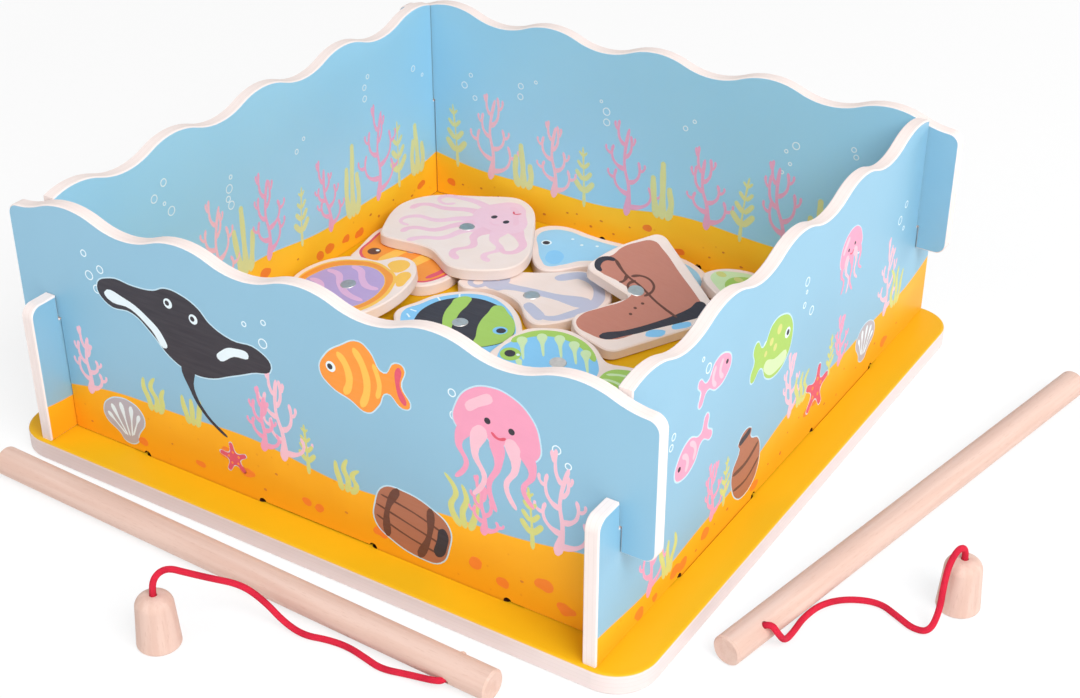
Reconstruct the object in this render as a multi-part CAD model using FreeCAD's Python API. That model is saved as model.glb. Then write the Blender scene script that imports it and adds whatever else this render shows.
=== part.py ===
"""Magnetic fishing game: a slotted plywood pond, nine flat playing pieces with steel discs and two rods.

Millimetres, +Z up. The origin is the centre of the base board's underside, and the floor is z = 0.
+X runs to the right along the front wall and +Y runs to the back wall.
"""
import FreeCAD
import Part
import math
import os
from FreeCAD import Placement, Rotation, Vector

# Base board
base_margin = 16.0           # beyond the outer faces of the walls
base_thickness = 9.0
base_corner_radius = 17.0
base_edge_radius = 1.2

# Four wall panels, each standing in the base board on two tongues
panel_thickness = 6.0
pond_span = 268.0            # outer face to outer face of two facing walls
wall_overhang = 14.0         # ends of each wall beyond the walls that it crosses
wall_crest_height = 105.3    # above the base board
wave_period = 58.0
wave_depth = 6.0
sanded_edge = 0.6

# Halved corner joints: front and back walls hook over the tabs of the side walls
joint_height = 52.1          # level where the two notches meet, above the base board
notch_depth = 10.6
joint_play = 0.2
tab_corner_radius = 5.0

# Tongues of the walls and their slots in the base board
tongue_length = 61.0
tongue_spacing = 115.0       # centre to centre
slot_side_play = 0.4
slot_end_play = 1.2
slot_corner_radius = 2.4
tongue_lift = 0.3            # the tongues stop this far above the floor
tongue_relief_radius = 1.8   # round relief at each corner where a tongue meets the wall's foot

# Playing pieces and their steel discs
piece_thickness = 6.0
drawn_pond_side = 256.0      # inner side of the pond that the outlines below are drawn for
disc_diameter = 8.0
disc_thickness = 2.5
disc_edge_bevel = 0.4
disc_play = 0.05
disc_proud = 0.25
rest_gap = 0.05              # between a resting piece and what it lies on

# Fishing rods: dowel, cross hole, peg, cord, bell, magnet
rod_diameter = 12.0
rod_length = 245.0
rod_end_bevel = 0.8
rod_hole_from_end = 17.0
cord_diameter = 2.5
cord_play = 0.2
cord_entry = 2.5             # length of cord inside the rod's cross hole
peg_proud = 0.8
peg_end_bevel = 0.6
bell_base_diameter = 16.5
bell_top_diameter = 13.6
bell_height = 22.0
bell_shoulder_setback = 4.3
bell_foot_radius = 1.0
knot_diameter = 5.5
magnet_diameter = 10.0
magnet_thickness = 4.0
magnet_play = 0.1
magnet_sink = 0.3

# Where the two rods lie on the floor, and which way their cross holes point
left_rod_gap = 18.3          # axis of the rod to the front edge of the base board
left_rod_along = -15.5
left_rod_angle = -1.6
left_hole_angle = -20.0      # above level, seen from the front side of the rod
right_rod_gap = 39.7         # axis of the rod to the right edge of the base board
right_rod_along = 7.6
right_rod_angle = 79.0
right_hole_angle = 135.0     # up and over towards the back side of the rod

near = 0.01                  # lengths closer than this count as equal

base_side = pond_span + 2 * base_margin
wall_length = pond_span + 2 * wall_overhang
inner_half = pond_span / 2 - panel_thickness
wave_middle = wall_crest_height - wave_depth / 2
wave_arc_radius = ((wave_period / 4) ** 2 + (wave_depth / 2) ** 2) / wave_depth
upper_tab_bottom = joint_height - notch_depth
lower_tab_top = joint_height + notch_depth
piece_scale = 2 * inner_half / drawn_pond_side
hole_diameter = cord_diameter + 2 * cord_play
UP = Vector(0, 0, 1)


def save(name, shape):
    """Write one named solid, or one group of solids, to its file."""
    shape.exportStep("parts/" + name + ".step")


def upright_edges(shape):
    """Straight edges of a shape that run along Z."""
    return [edge for edge in shape.Edges if abs(edge.tangentAt(edge.FirstParameter).z) > 1 - near]


def level_edges(shape, above=-math.inf):
    """Edges of a shape that lie level, higher than the given height."""
    return [edge for edge in shape.Edges if edge.BoundBox.ZLength < near and edge.BoundBox.ZMin > above]


def flat_face(edges):
    """Face inside a closed run of edges."""
    return Part.Face(Part.Wire(edges))


def toward(start, goal, distance):
    """Point at a distance from start on the way to goal."""
    step = goal - start
    return start + step * (distance / step.Length)


def tangent_arc(before, corner, after, setback):
    """Arc that rounds a corner, tangent to both runs at the setback from it."""
    first = toward(corner, before, setback)
    last = toward(corner, after, setback)
    half_turn = (math.pi - (before - corner).getAngle(after - corner)) / 2
    radius = setback / math.tan(half_turn)
    middle_line = toward(corner, before, 1) + toward(corner, after, 1) - corner * 2
    bulge = radius / math.cos(half_turn) - radius
    middle = corner + middle_line * (bulge / middle_line.Length)
    return Part.Arc(first, middle, last), radius


# Base board

def slot_cutter(along, across, turned):
    """Slot for one tongue, with rounded corners, cut right through the base board."""
    width = panel_thickness + 2 * slot_side_play
    length = tongue_length + 2 * slot_end_play
    slot = Part.makeBox(length, width, 3 * base_thickness, Vector(-length / 2, -width / 2, -base_thickness))
    slot = slot.makeFillet(slot_corner_radius, upright_edges(slot))
    slot.translate(Vector(along, across, 0))
    if turned:
        slot.rotate(Vector(0, 0, 0), UP, 90)
    return slot


def make_base_board():
    """Square board with rounded corners and eight slots."""
    half = base_side / 2
    board = Part.makeBox(base_side, base_side, base_thickness, Vector(-half, -half, 0))
    board = board.makeFillet(base_corner_radius, upright_edges(board))
    board = board.makeFillet(base_edge_radius, level_edges(board))
    wall_middle = pond_span / 2 - panel_thickness / 2
    for turned in (False, True):
        for side in (-1, 1):
            for end in (-1, 1):
                board = board.cut(slot_cutter(end * tongue_spacing / 2, side * wall_middle, turned))
    return board


# Wall panels

def wave_height(along):
    """Height of the wavy top above the base board, made of equal tangent arcs."""
    index = round(along / (wave_period / 2))
    offset = along - index * wave_period / 2
    rise = math.sqrt(wave_arc_radius ** 2 - offset ** 2) - wave_arc_radius + wave_depth / 2
    return wave_middle + rise if index % 2 == 0 else wave_middle - rise


def wave_edges(half_width):
    """Arcs of the wavy top, from left to right."""
    crossings = [-half_width]
    count = int(half_width / (wave_period / 2)) + 1
    for index in range(-count, count + 1):
        crossing = (index + 0.5) * wave_period / 2
        if abs(crossing) < half_width - near:
            crossings.append(crossing)
    crossings.append(half_width)
    points = [Vector(u, 0, wave_height(u)) for u in crossings]
    edges = []
    for start, end in zip(points, points[1:]):
        middle = (start.x + end.x) / 2
        edges.append(Part.Arc(start, Vector(middle, 0, wave_height(middle)), end).toShape())
    return edges


def tongue_steps():
    """Bottom line of the right half of a wall, from its middle outwards."""
    inner = tongue_spacing / 2 - tongue_length / 2
    outer = tongue_spacing / 2 + tongue_length / 2
    down = tongue_lift - base_thickness
    return [(inner, 0), (inner, down), (outer, down), (outer, 0)]


def over_wall_side():
    """Right half of a front or back wall, from the bottom up: its notch opens downwards."""
    inner = inner_half - joint_play
    outer = pond_span / 2 + joint_play
    notch_top = joint_height + joint_play / 2
    end = wall_length / 2
    corners = [(inner, 0), (inner, notch_top), (outer, notch_top), (outer, upper_tab_bottom)]
    return corners + [(end, upper_tab_bottom)], end


def under_wall_side():
    """Right half of a side wall, from the bottom up: its notch opens upwards."""
    inner = inner_half - joint_play
    outer = pond_span / 2 + joint_play
    notch_bottom = joint_height - joint_play / 2
    end = wall_length / 2
    corners = [(end, 0), (end, lower_tab_top), (outer, lower_tab_top), (outer, notch_bottom)]
    return corners + [(inner, notch_bottom)], inner


def make_wall(side_line, rounded):
    """Wall panel in the XZ plane, from y = 0 to its thickness, standing on z = 0."""
    corners, top_half = side_line()
    right = tongue_steps() + corners
    line = [Vector(u, 0, z) for u, z in right]
    line.append(Vector(top_half, 0, wave_height(top_half)))
    mirrored = [Vector(-point.x, 0, point.z) for point in line]
    edges = [Part.makeLine(a, b) for a, b in zip(line, line[1:])]
    edges += [Part.makeLine(a, b) for a, b in zip(mirrored, mirrored[1:])]
    edges.append(Part.makeLine(mirrored[0], line[0]))
    edges += wave_edges(top_half)
    outline = Part.Wire(Part.sortEdges(edges)[0])
    panel = Part.Face(outline).extrude(Vector(0, panel_thickness, 0))
    ends = []
    for edge in panel.Edges:
        middle = edge.BoundBox.Center
        if edge.BoundBox.YLength > panel_thickness - near:
            for u, z in rounded:
                if abs(abs(middle.x) - u) < near and abs(middle.z - z) < near:
                    ends.append(edge)
    panel = panel.makeFillet(tab_corner_radius, ends)
    faces = [face for face in panel.Faces if face.BoundBox.YLength < near]
    rims = [edge for face in faces for edge in face.Edges]
    panel = panel.makeChamfer(sanded_edge, rims)
    for u, z in tongue_steps():
        if z == 0:
            for side in (-1, 1):
                start = Vector(side * u, -panel_thickness, 0)
                panel = panel.cut(Part.makeCylinder(tongue_relief_radius, 3 * panel_thickness, start,
                                                    Vector(0, 1, 0)))
    return panel


def place_walls():
    """The four walls, interlocked at their corners and standing on the base board."""
    end = wall_length / 2
    over_wall = make_wall(over_wall_side, [(end, upper_tab_bottom), (end, wave_height(end))])
    under_wall = make_wall(under_wall_side, [(end, lower_tab_top)])
    stand = Vector(0, -pond_span / 2, base_thickness)
    walls = {}
    for name, panel, turn in (("front_wall", over_wall, 0), ("right_wall", under_wall, 90),
                              ("back_wall", over_wall, 180), ("left_wall", under_wall, 270)):
        wall = panel.copy()
        wall.translate(stand)
        wall.rotate(Vector(0, 0, 0), UP, turn)
        walls[name] = wall
    return walls


# Playing pieces

def smooth_outline(points):
    """Closed smooth curve through the points of an outline."""
    curve = Part.BSplineCurve()
    curve.interpolate(Points=[Vector(x, y, 0) * piece_scale for x, y in points], PeriodicFlag=True)
    return Part.Face(Part.Wire([curve.toShape()]))


def cornered_outline(corners):
    """Closed outline of straight sides, each corner rounded by its own setback."""
    points = [Vector(x, y, 0) * piece_scale for x, y, setback in corners]
    arcs = []
    for index, (x, y, setback) in enumerate(corners):
        after = points[(index + 1) % len(points)]
        arcs.append(tangent_arc(points[index - 1], points[index], after, setback * piece_scale)[0])
    edges = []
    for index, arc in enumerate(arcs):
        edges.append(arc.toShape())
        edges.append(Part.makeLine(arc.EndPoint, arcs[(index + 1) % len(arcs)].StartPoint))
    return flat_face(edges)


def make_piece(face, disc_at):
    """Flat plywood piece with its underside on z = 0, and the steel disc pressed into its top."""
    piece = face.extrude(Vector(0, 0, piece_thickness))
    piece = piece.makeChamfer(sanded_edge, level_edges(piece))
    centre = Vector(disc_at[0], disc_at[1], 0) * piece_scale
    seat = centre + UP * (piece_thickness + disc_proud - disc_thickness)
    recess = Part.makeCylinder(disc_diameter / 2 + disc_play, piece_thickness, seat)
    disc = Part.makeCylinder(disc_diameter / 2, disc_thickness, seat)
    return piece.cut(recess), disc.makeChamfer(disc_edge_bevel, level_edges(disc, above=seat.z + near))


def lowest_along(shape, uphill):
    """Smallest reach of a flat shape in the uphill direction, in degrees from +X."""
    turned = shape.copy()
    turned.rotate(Vector(0, 0, 0), UP, -uphill)
    return turned.optimalBoundingBox(False, False).XMin


def leaning_placement(face, uphill, supports):
    """Placement of a piece whose lowest edge is on the board and whose underside rests on other pieces."""
    foot = lowest_along(face, uphill)
    seat = min(lowest_along(face.common(support), uphill) for support in supports)
    angle = math.degrees(math.atan((piece_thickness + rest_gap) / (seat - foot)))
    way = Vector(math.cos(math.radians(uphill)), math.sin(math.radians(uphill)), 0)
    tilt = Placement(Vector(0, 0, 0), Rotation(way.cross(UP), angle), way * foot)
    return Placement(UP * base_thickness, Rotation()) * tilt


octopus_outline = [(-112, 58), (-118, 72), (-121, 88), (-112, 105), (-98, 113), (-85, 120), (-75, 124),
                   (-64, 120), (-54, 108), (-45, 92), (-38, 78), (-37, 62), (-48, 51), (-64, 47), (-78, 55),
                   (-95, 56)]
orange_fish_outline = [(-117, 41), (-120, 56), (-121, 72), (-113, 84), (-97, 86), (-80, 79), (-67, 66),
                       (-63, 53), (-64, 41), (-71, 32), (-86, 33), (-100, 35), (-110, 35)]
purple_fish_outline = [(-124, 5), (-123, 17), (-116, 28), (-104, 34), (-94, 35), (-88, 41), (-79, 41),
                       (-71, 32), (-68, 20), (-69, 6), (-75, -8), (-86, -18), (-102, -22), (-116, -14)]
anchor_outline = [(-58, 48), (-52, 57), (-43, 66), (-33, 72), (-25, 77), (-18, 83), (-9, 87), (1, 84),
                  (9, 76), (13, 65), (10, 52), (2, 38), (-6, 32), (-13, 35), (-21, 43), (-34, 48),
                  (-46, 46), (-53, 43)]
whale_outline = [(-55, 107), (-52, 117), (-44, 121), (-30, 120), (-14, 120), (4, 122), (20, 123),
                 (34, 118), (43, 110), (45, 101), (39, 99), (33, 105), (26, 109), (18, 108), (8, 102),
                 (-6, 96), (-17, 89), (-22, 82), (-31, 77), (-39, 82), (-48, 94)]
turtle_outline = [(41, 106), (50, 118), (64, 122), (78, 116), (86, 106), (78, 95), (64, 90), (50, 95)]
striped_fish_outline = [(-63, 2), (-66, 11), (-63, 19), (-60, 28), (-54, 36), (-46, 42), (-35, 44),
                        (-22, 39), (-12, 30), (-5, 20), (-1, 8), (-8, -6), (-24, -12), (-42, -12),
                        (-55, -6)]
green_tail_fish_outline = [(-5, -4), (-4, 7), (-1, 17), (6, 23), (15, 27), (24, 26), (33, 22), (41, 17),
                           (48, 19), (57, 20), (60, 10), (57, -6), (46, -8), (36, -18), (20, -24),
                           (4, -18)]
boot_corners = [(-6, 72, 5), (-3, 94, 12), (9, 120, 6), (57, 87, 6), (58, 74, 4), (35, 28.5, 5),
                (16, 30, 5), (8, 38, 5), (22.5, 68, 3)]


def place_pieces():
    """Nine pieces as they lie: four on the board, one flat on top of them and four leaning on others."""
    faces = {"octopus_piece": smooth_outline(octopus_outline),
             "orange_fish_piece": smooth_outline(orange_fish_outline),
             "purple_fish_piece": smooth_outline(purple_fish_outline),
             "anchor_piece": smooth_outline(anchor_outline),
             "whale_piece": smooth_outline(whale_outline),
             "turtle_piece": smooth_outline(turtle_outline),
             "striped_fish_piece": smooth_outline(striped_fish_outline),
             "green_tail_fish_piece": smooth_outline(green_tail_fish_outline),
             "boot_piece": cornered_outline(boot_corners)}
    discs_at = {"octopus_piece": (-78.4, 84), "orange_fish_piece": (-94, 60),
                "purple_fish_piece": (-95, 11.2), "anchor_piece": (-21, 53), "whale_piece": (13, 110),
                "turtle_piece": (64, 106), "striped_fish_piece": (-34.9, 14.4),
                "green_tail_fish_piece": (23.5, 3.9), "boot_piece": (22, 73)}
    on_board = Placement(UP * base_thickness, Rotation())
    placements = {name: on_board for name in faces}
    second_layer = base_thickness + piece_thickness + disc_proud + rest_gap
    placements["octopus_piece"] = Placement(UP * second_layer, Rotation())
    for name, uphill, supports in (("purple_fish_piece", 60, ["orange_fish_piece"]),
                                   ("boot_piece", 155, ["anchor_piece", "whale_piece"]),
                                   ("turtle_piece", 180, ["whale_piece"]),
                                   ("green_tail_fish_piece", 145, ["striped_fish_piece"])):
        placements[name] = leaning_placement(faces[name], uphill, [faces[other] for other in supports])
    placed = {}
    for name, face in faces.items():
        piece, disc = make_piece(face, discs_at[name])
        for node, shape in ((name, piece), (name.replace("_piece", "_disc"), disc)):
            shape.Placement = placements[name]
            placed[node] = shape
    return placed


# Fishing rods

def make_rod():
    """Dowel along X, centred on the origin, with bevelled ends and a cross hole along Y."""
    radius = rod_diameter / 2
    half = rod_length / 2
    bevel = radius - rod_end_bevel
    profile = [Vector(-half, 0, 0), Vector(-half, bevel, 0), Vector(rod_end_bevel - half, radius, 0),
               Vector(half - rod_end_bevel, radius, 0), Vector(half, bevel, 0), Vector(half, 0, 0)]
    section = Part.Face(Part.makePolygon(profile + profile[:1]))
    dowel = section.revolve(Vector(0, 0, 0), Vector(1, 0, 0), 360)
    hole_at = Vector(half - rod_hole_from_end, 2 * rod_diameter, 0)
    return dowel.cut(Part.makeCylinder(hole_diameter / 2, 4 * rod_diameter, hole_at, Vector(0, -1, 0)))


def make_peg():
    """Wooden peg that fills the cross hole behind the cord, its bevelled end proud of the dowel."""
    radius = cord_diameter / 2 + cord_play / 2
    start = Vector(rod_length / 2 - rod_hole_from_end, -(rod_diameter / 2 - cord_entry), 0)
    length = rod_diameter - cord_entry + peg_proud
    peg = Part.makeCylinder(radius, length, start, Vector(0, 1, 0))
    outer_rim = [edge for edge in peg.Edges if edge.BoundBox.YMin > start.y + length - near]
    return peg.makeChamfer(peg_end_bevel, outer_rim)


def rod_placement(centre, turn, hole_angle):
    """Dowel laid on the floor and rolled so that its cross hole leaves the front at the given pitch."""
    roll = Rotation(Vector(1, 0, 0), -hole_angle)
    return Placement(Vector(centre.x, centre.y, rod_diameter / 2), Rotation(UP, turn) * roll)


def make_bell():
    """Turned bell standing on z = 0: cord bore, knot chamber and magnet recess from below."""
    foot = bell_base_diameter / 2
    top = bell_top_diameter / 2
    lip = Vector(foot - bell_foot_radius, 0, 0)
    side_bottom = Vector(foot, 0, bell_foot_radius)
    shoulder = Vector(top, 0, bell_height)
    crown = Vector(0, 0, bell_height)
    foot_arc = tangent_arc(lip, Vector(foot, 0, 0), side_bottom, bell_foot_radius)[0]
    shoulder_arc = tangent_arc(side_bottom, shoulder, crown, bell_shoulder_setback)[0]
    axis_foot = Vector(0, 0, 0)
    edges = [Part.makeLine(axis_foot, foot_arc.StartPoint), foot_arc.toShape(),
             Part.makeLine(foot_arc.EndPoint, shoulder_arc.StartPoint), shoulder_arc.toShape(),
             Part.makeLine(shoulder_arc.EndPoint, crown), Part.makeLine(crown, axis_foot)]
    bell = flat_face(edges).revolve(axis_foot, UP, 360)
    recess_depth = magnet_thickness + magnet_sink
    chamber_top = recess_depth + knot_diameter + 2 * magnet_play
    recess = Part.makeCylinder(magnet_diameter / 2 + magnet_play, recess_depth)
    chamber = Part.makeCylinder(knot_diameter / 2 + magnet_play, chamber_top)
    bore = Part.makeCylinder(hole_diameter / 2, bell_height)
    return bell.cut(recess.fuse(chamber).fuse(bore))


def make_magnet():
    """Disc magnet in the bell's recess, set back a little from its foot."""
    return Part.makeCylinder(magnet_diameter / 2, magnet_thickness, Vector(0, 0, magnet_sink))


def make_knot():
    """Knotted end of the cord in the bell, with the stretch of cord that fills the bore."""
    radius = knot_diameter / 2
    middle = magnet_sink + magnet_thickness + magnet_play + radius
    knot = Part.makeSphere(radius, Vector(0, 0, middle))
    tail = Part.makeCylinder(cord_diameter / 2, bell_height - middle, Vector(0, 0, middle))
    return knot.fuse(tail).removeSplitter()


def make_cord(name, points):
    """Plain tube along straight runs joined by tangent arcs, each as large as its two runs allow."""
    edges = []
    radii = []
    start = points[0]
    for before, corner, after in zip(points, points[1:], points[2:]):
        shorter = min((corner - before).Length, (after - corner).Length)
        arc, radius = tangent_arc(before, corner, after, 0.45 * shorter)
        edges.append(Part.LineSegment(start, arc.StartPoint).toShape())
        edges.append(arc.toShape())
        radii.append(radius)
        start = arc.EndPoint
    edges.append(Part.LineSegment(start, points[-1]).toShape())
    path = Part.Wire(edges)
    section = Part.Wire([Part.makeCircle(cord_diameter / 2, points[0], points[1] - points[0])])
    tube = path.makePipeShell([section], True, True)
    share = tube.Volume / (math.pi * cord_diameter ** 2 / 4 * path.Length)
    print(name, "length", round(path.Length, 1), "volume share", round(share, 4))
    print(name, "radii", [round(radius, 1) for radius in radii])
    return tube


# Cord routes as they lie, from just outside the rod's cross hole to above the bell, about the hole's centre
left_cord_route = [(-7.0, -7.9, -4.1), (-15.0, -7.6, -4.65), (-24.5, -10.0, -4.65), (-32.5, -8.4, -4.65),
                   (-41.5, -6.8, -4.65), (-50.5, -7.7, -4.65), (-59.0, -10.4, -4.65), (-68.0, -10.2, -2.8),
                   (-77.0, -10.3, 3.6), (-84.5, -13.3, 9.8), (-91.0, -21.7, 15.5), (-95.2, -29.7, 21.8),
                   (-98.4, -34.3, 25.4), (-100.6, -38.0, 24.4)]
left_bell_from_hole = (-101.5, -40.2)
left_bell_rise = 4.5
right_cord_route = [(9.4, -0.4, 2.0), (10.2, 3.8, -3.8), (10.3, 11.0, -4.65), (9.9, 20.5, -4.65),
                    (12.2, 31.0, -4.65), (19.0, 39.0, -4.65), (29.9, 43.4, -4.65), (38.9, 39.4, -4.65),
                    (46.4, 35.8, -4.65), (52.3, 37.0, -4.2), (52.8, 43.4, 1.5), (51.8, 47.4, 10.0),
                    (51.8, 50.4, 18.0), (53.2, 54.8, 22.8)]
right_bell_from_hole = (54.7, 58.8)
right_bell_rise = 4.6
hole_run = 3.1               # the cord leaves the hole straight for this length


def lay_rod(side, centre, turn, hole_angle, route, bell_from_hole, bell_rise):
    """One complete rod: dowel, peg, cord, bell, knot and magnet, as they lie on the floor."""
    place = rod_placement(centre, turn, hole_angle)
    hole = place.multVec(Vector(rod_length / 2 - rod_hole_from_end, 0, 0))
    outwards = place.Rotation.multVec(Vector(0, -1, 0))
    bell_at = Vector(hole.x + bell_from_hole[0], hole.y + bell_from_hole[1], 0)
    points = [hole + outwards * (rod_diameter / 2 - cord_entry),
              hole + outwards * (rod_diameter / 2 + hole_run)]
    points += [hole + Vector(*step) for step in route]
    points += [bell_at + UP * (bell_height + bell_rise), bell_at + UP * bell_height]
    print(side + "_cord", "points", [tuple(round(value, 2) for value in point) for point in points])
    laid = {side + "_rod": make_rod(), side + "_rod_peg": make_peg()}
    for shape in laid.values():
        shape.Placement = place
    for name, shape in (("_bell", make_bell()), ("_bell_magnet", make_magnet()),
                        ("_cord_knot", make_knot())):
        shape.translate(bell_at)
        laid[side + name] = shape
    laid[side + "_cord"] = make_cord(side + "_cord", points)
    return laid


def main():
    """Build every piece and write its file."""
    os.makedirs("parts", exist_ok=True)
    shapes = {"base_board": make_base_board()}
    shapes.update(place_walls())
    shapes.update(place_pieces())
    left_centre = Vector(left_rod_along, -base_side / 2 - left_rod_gap, 0)
    right_centre = Vector(base_side / 2 + right_rod_gap, right_rod_along, 0)
    shapes.update(lay_rod("left", left_centre, left_rod_angle, left_hole_angle, left_cord_route,
                          left_bell_from_hole, left_bell_rise))
    shapes.update(lay_rod("right", right_centre, right_rod_angle + 180, right_hole_angle, right_cord_route,
                          right_bell_from_hole, right_bell_rise))
    for name, shape in shapes.items():
        save(name, shape)


main()
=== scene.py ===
"""Finishes, prints, cords and stage of a wooden magnetic fishing game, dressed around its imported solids.

Metres, +Z up. The origin is the centre of the base board's underside, +X runs right along the front
wall and +Y runs from the front wall to the back wall.
"""
import math
import random

import bmesh
import bpy
from mathutils import Matrix, Vector


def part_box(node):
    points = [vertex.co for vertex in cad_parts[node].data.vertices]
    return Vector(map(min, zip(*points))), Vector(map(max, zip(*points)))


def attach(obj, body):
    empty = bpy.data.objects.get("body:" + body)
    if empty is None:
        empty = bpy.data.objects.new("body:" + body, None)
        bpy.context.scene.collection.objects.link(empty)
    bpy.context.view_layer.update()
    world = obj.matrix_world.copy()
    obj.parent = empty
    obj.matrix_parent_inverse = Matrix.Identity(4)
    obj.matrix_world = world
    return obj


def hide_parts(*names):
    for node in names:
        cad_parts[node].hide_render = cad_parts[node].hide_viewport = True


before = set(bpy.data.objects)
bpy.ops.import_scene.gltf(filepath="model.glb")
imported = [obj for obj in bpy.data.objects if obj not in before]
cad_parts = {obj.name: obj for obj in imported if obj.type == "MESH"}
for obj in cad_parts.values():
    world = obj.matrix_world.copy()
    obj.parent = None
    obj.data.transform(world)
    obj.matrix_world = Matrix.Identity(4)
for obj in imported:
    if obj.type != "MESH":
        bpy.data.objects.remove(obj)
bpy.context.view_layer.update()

bl_info = {
    "name": "Magnetic fishing game",
    "version": (1, 0, 0),
    "blender": (4, 5, 0),
    "location": "View3D > Sidebar > Fishing game",
    "description": "Finishes, prints, cords and stage of a wooden magnetic fishing game",
    "category": "Object",
}

MM = 0.001
UP = Vector((0, 0, 1))
ALONG_X = Vector((1, 0, 0))
ALONG_Y = Vector((0, 1, 0))
WALLS = {"front_wall": -ALONG_Y, "right_wall": ALONG_X, "back_wall": ALONG_Y, "left_wall": -ALONG_X}
BASE_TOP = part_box("base_board")[1].z
WALL_OUTER = -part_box("front_wall")[0].y
WALL_INNER = -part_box("front_wall")[1].y
WALL_THICKNESS = WALL_OUTER - WALL_INNER

# Middle of each playing piece's steel disc, in the drawn plan that the piece's print is laid out in
DISC_AT = {"octopus": (-78.4, 84), "orange_fish": (-94, 60), "purple_fish": (-95, 11.2), "anchor": (-21, 53),
           "whale": (13, 110), "turtle": (64, 106), "striped_fish": (-34.9, 14.4),
           "green_tail_fish": (23.5, 3.9), "boot": (22, 73)}

LONG_WAVE = 0.19             # length of the sand line's long wave
SHORT_WAVE = 0.08            # length of its short wave
SHORT_SHARE = 0.35           # height of the short wave as a share of the long one's
TONGUE_REACH = 95 * MM       # the tongues and the reliefs beside them lie this near to a wall's middle
FIBRE_RELIEF = 0.03 * MM     # how far fibres stand up from sanded wood
RELIEF_STRENGTH = 0.6        # how strongly a relief shows

# Which way each rod points on the floor, in degrees from +X
ROD_TURNS = {"left": -1.6, "right": 79.0}

CAMERA_AIM = Vector((17.1, 0.1, 25.1)) * MM
FLOOR_REACH = 4              # half the side of the paper, in metres
FLOOR_FADE = 0.4, 1.2        # the paper turns plain white between these distances from its middle, in metres

# Place, aim and side of each lamp, in metres. The window, low past the far right corner, puts the soft haze
# on the right wall's varnish
LAMPS = {"key": ((1.15, -0.65, 1.3), (0, 0, 0.03), 1.1), "fill": ((-0.5, -1.3, 1.1), (0, 0, 0.03), 1.0),
         "window": ((0.75, 1.0, 0.05), (0.15, 0, 0.05), 0.5)}

# Sand line on both faces of each wall: height above the base board, rise per metre, and phase of its waves
SAND_LINES = {"front_wall": (0.0275, 0.035, 3.6), "right_wall": (0.0200, 0.065, 1.1),
              "back_wall": (0.0215, 0.000, 0.4), "left_wall": (0.0205, 0.010, 2.5)}


def linear(hex_colour):
    """Linear RGBA of an sRGB hex colour."""
    channels = [int(hex_colour[at:at + 2], 16) / 255 for at in (1, 3, 5)]
    return (*[c / 12.92 if c <= 0.04045 else ((c + 0.055) / 1.055) ** 2.4 for c in channels], 1.0)


def colour_property(name, hex_colour):
    """Colour setting shown as a swatch, with its default given in sRGB."""
    return bpy.props.FloatVectorProperty(name=name, description=name + " of the finish", subtype="COLOR",
                                         size=4, min=0, max=1, default=linear(hex_colour))


def length_property(name, millimetres):
    """Length setting in metres, with its default given in millimetres."""
    return bpy.props.FloatProperty(name=name, description=name, unit="LENGTH", min=0, precision=5,
                                   default=millimetres * MM)


class PondLook(bpy.types.PropertyGroup):
    """Paints of the pond's walls and base board."""
    water: colour_property("Water blue, outer faces", "#8ABCD5")
    deep_water: colour_property("Deeper water blue, outer faces", "#80B3CE")
    # The inner faces' blues and sands are lighter copies of the outer ones: painted light against the shade
    # inside the pond
    shade_lifted_inner_water: colour_property("Water blue, inner faces", "#9CD5F0")
    shade_lifted_inner_deep_water: colour_property("Deeper water blue, inner faces", "#93CEEC")
    sand: colour_property("Sand, outer faces", "#FBB422")
    dark_sand: colour_property("Darker sand, outer faces", "#F4A81D")
    shade_lifted_inner_sand: colour_property("Sand, inner faces", "#FFCA30")
    shade_lifted_inner_dark_sand: colour_property("Darker sand, inner faces", "#FFBF2A")
    base_top: colour_property("Base board top", "#E0AA0F")
    base_light: colour_property("Lighter base board top", "#E5B017")
    sand_grain: colour_property("Printed grain of sand", "#DD8424")
    cut_edge: colour_property("Cut edge of the walls", "#EEE2DE")
    base_edge: colour_property("Cut edge of the base board", "#E4D6D3")
    glue_line: colour_property("Glue line of the ply", "#C9AEA6")
    edge_fibre: colour_property("Fibres of the cut edge", "#E0CBC4")
    # Dark brown of the router's scorch, deepened by painted shade in the slots and the reliefs beside the
    # tongues
    scorch_and_recess_shade: colour_property("Scorched ply", "#5E3322")
    sand_wave: length_property("Rise and fall of the sand line", 3)


class PieceLook(bpy.types.PropertyGroup):
    """Bare ply and print of the playing pieces."""
    ply: colour_property("Birch ply", "#F7E5DE")
    ply_warm: colour_property("Warmer patches of the ply", "#EFD8CE")
    ply_fibre: colour_property("Fibres of the ply", "#DFC3B0")
    ink_step: length_property("Thickness of one layer of ink", 0.03)
    steel: colour_property("Steel", "#D8D3CF")
    worn_steel: colour_property("Worn steel", "#B9B3AF")


# Inks of the sea prints, in sRGB
INKS = {
    "coral_pink": "#F09DBA", "pale_pink": "#F3C0CE", "blush": "#F4C6D3", "rose": "#E0526A",
    "pale_coral": "#E9A9C9", "weed_green": "#D2D37C", "pale_weed": "#D9DF9C", "leaf_green": "#A6CB5C",
    "pale_green": "#CFE5B0", "foam_white": "#E6F4FA", "pale_water": "#C3E0EE", "pebble_orange": "#F5831F",
    "sun_orange": "#F69632", "stripe_yellow": "#FBC04F", "dark_sand_mark": "#D9801E", "slate": "#2A2530",
    "barrel_brown": "#AD6C50", "dark_brown": "#64382A", "boot_brown": "#C27C69", "shell_grey": "#B7B1BA",
    "anchor_blue": "#C0BFD2", "sky_blue": "#86C6EE", "whale_blue": "#9BCFEC", "lilac": "#BBA0CF",
    "soft_pink": "#E3B2D5",
}


class InkLook(bpy.types.PropertyGroup):
    """Inks of the sea prints."""
    __annotations__ = {ink: colour_property(ink.replace("_", " ").capitalize(), shade)
                       for ink, shade in INKS.items()}


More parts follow.
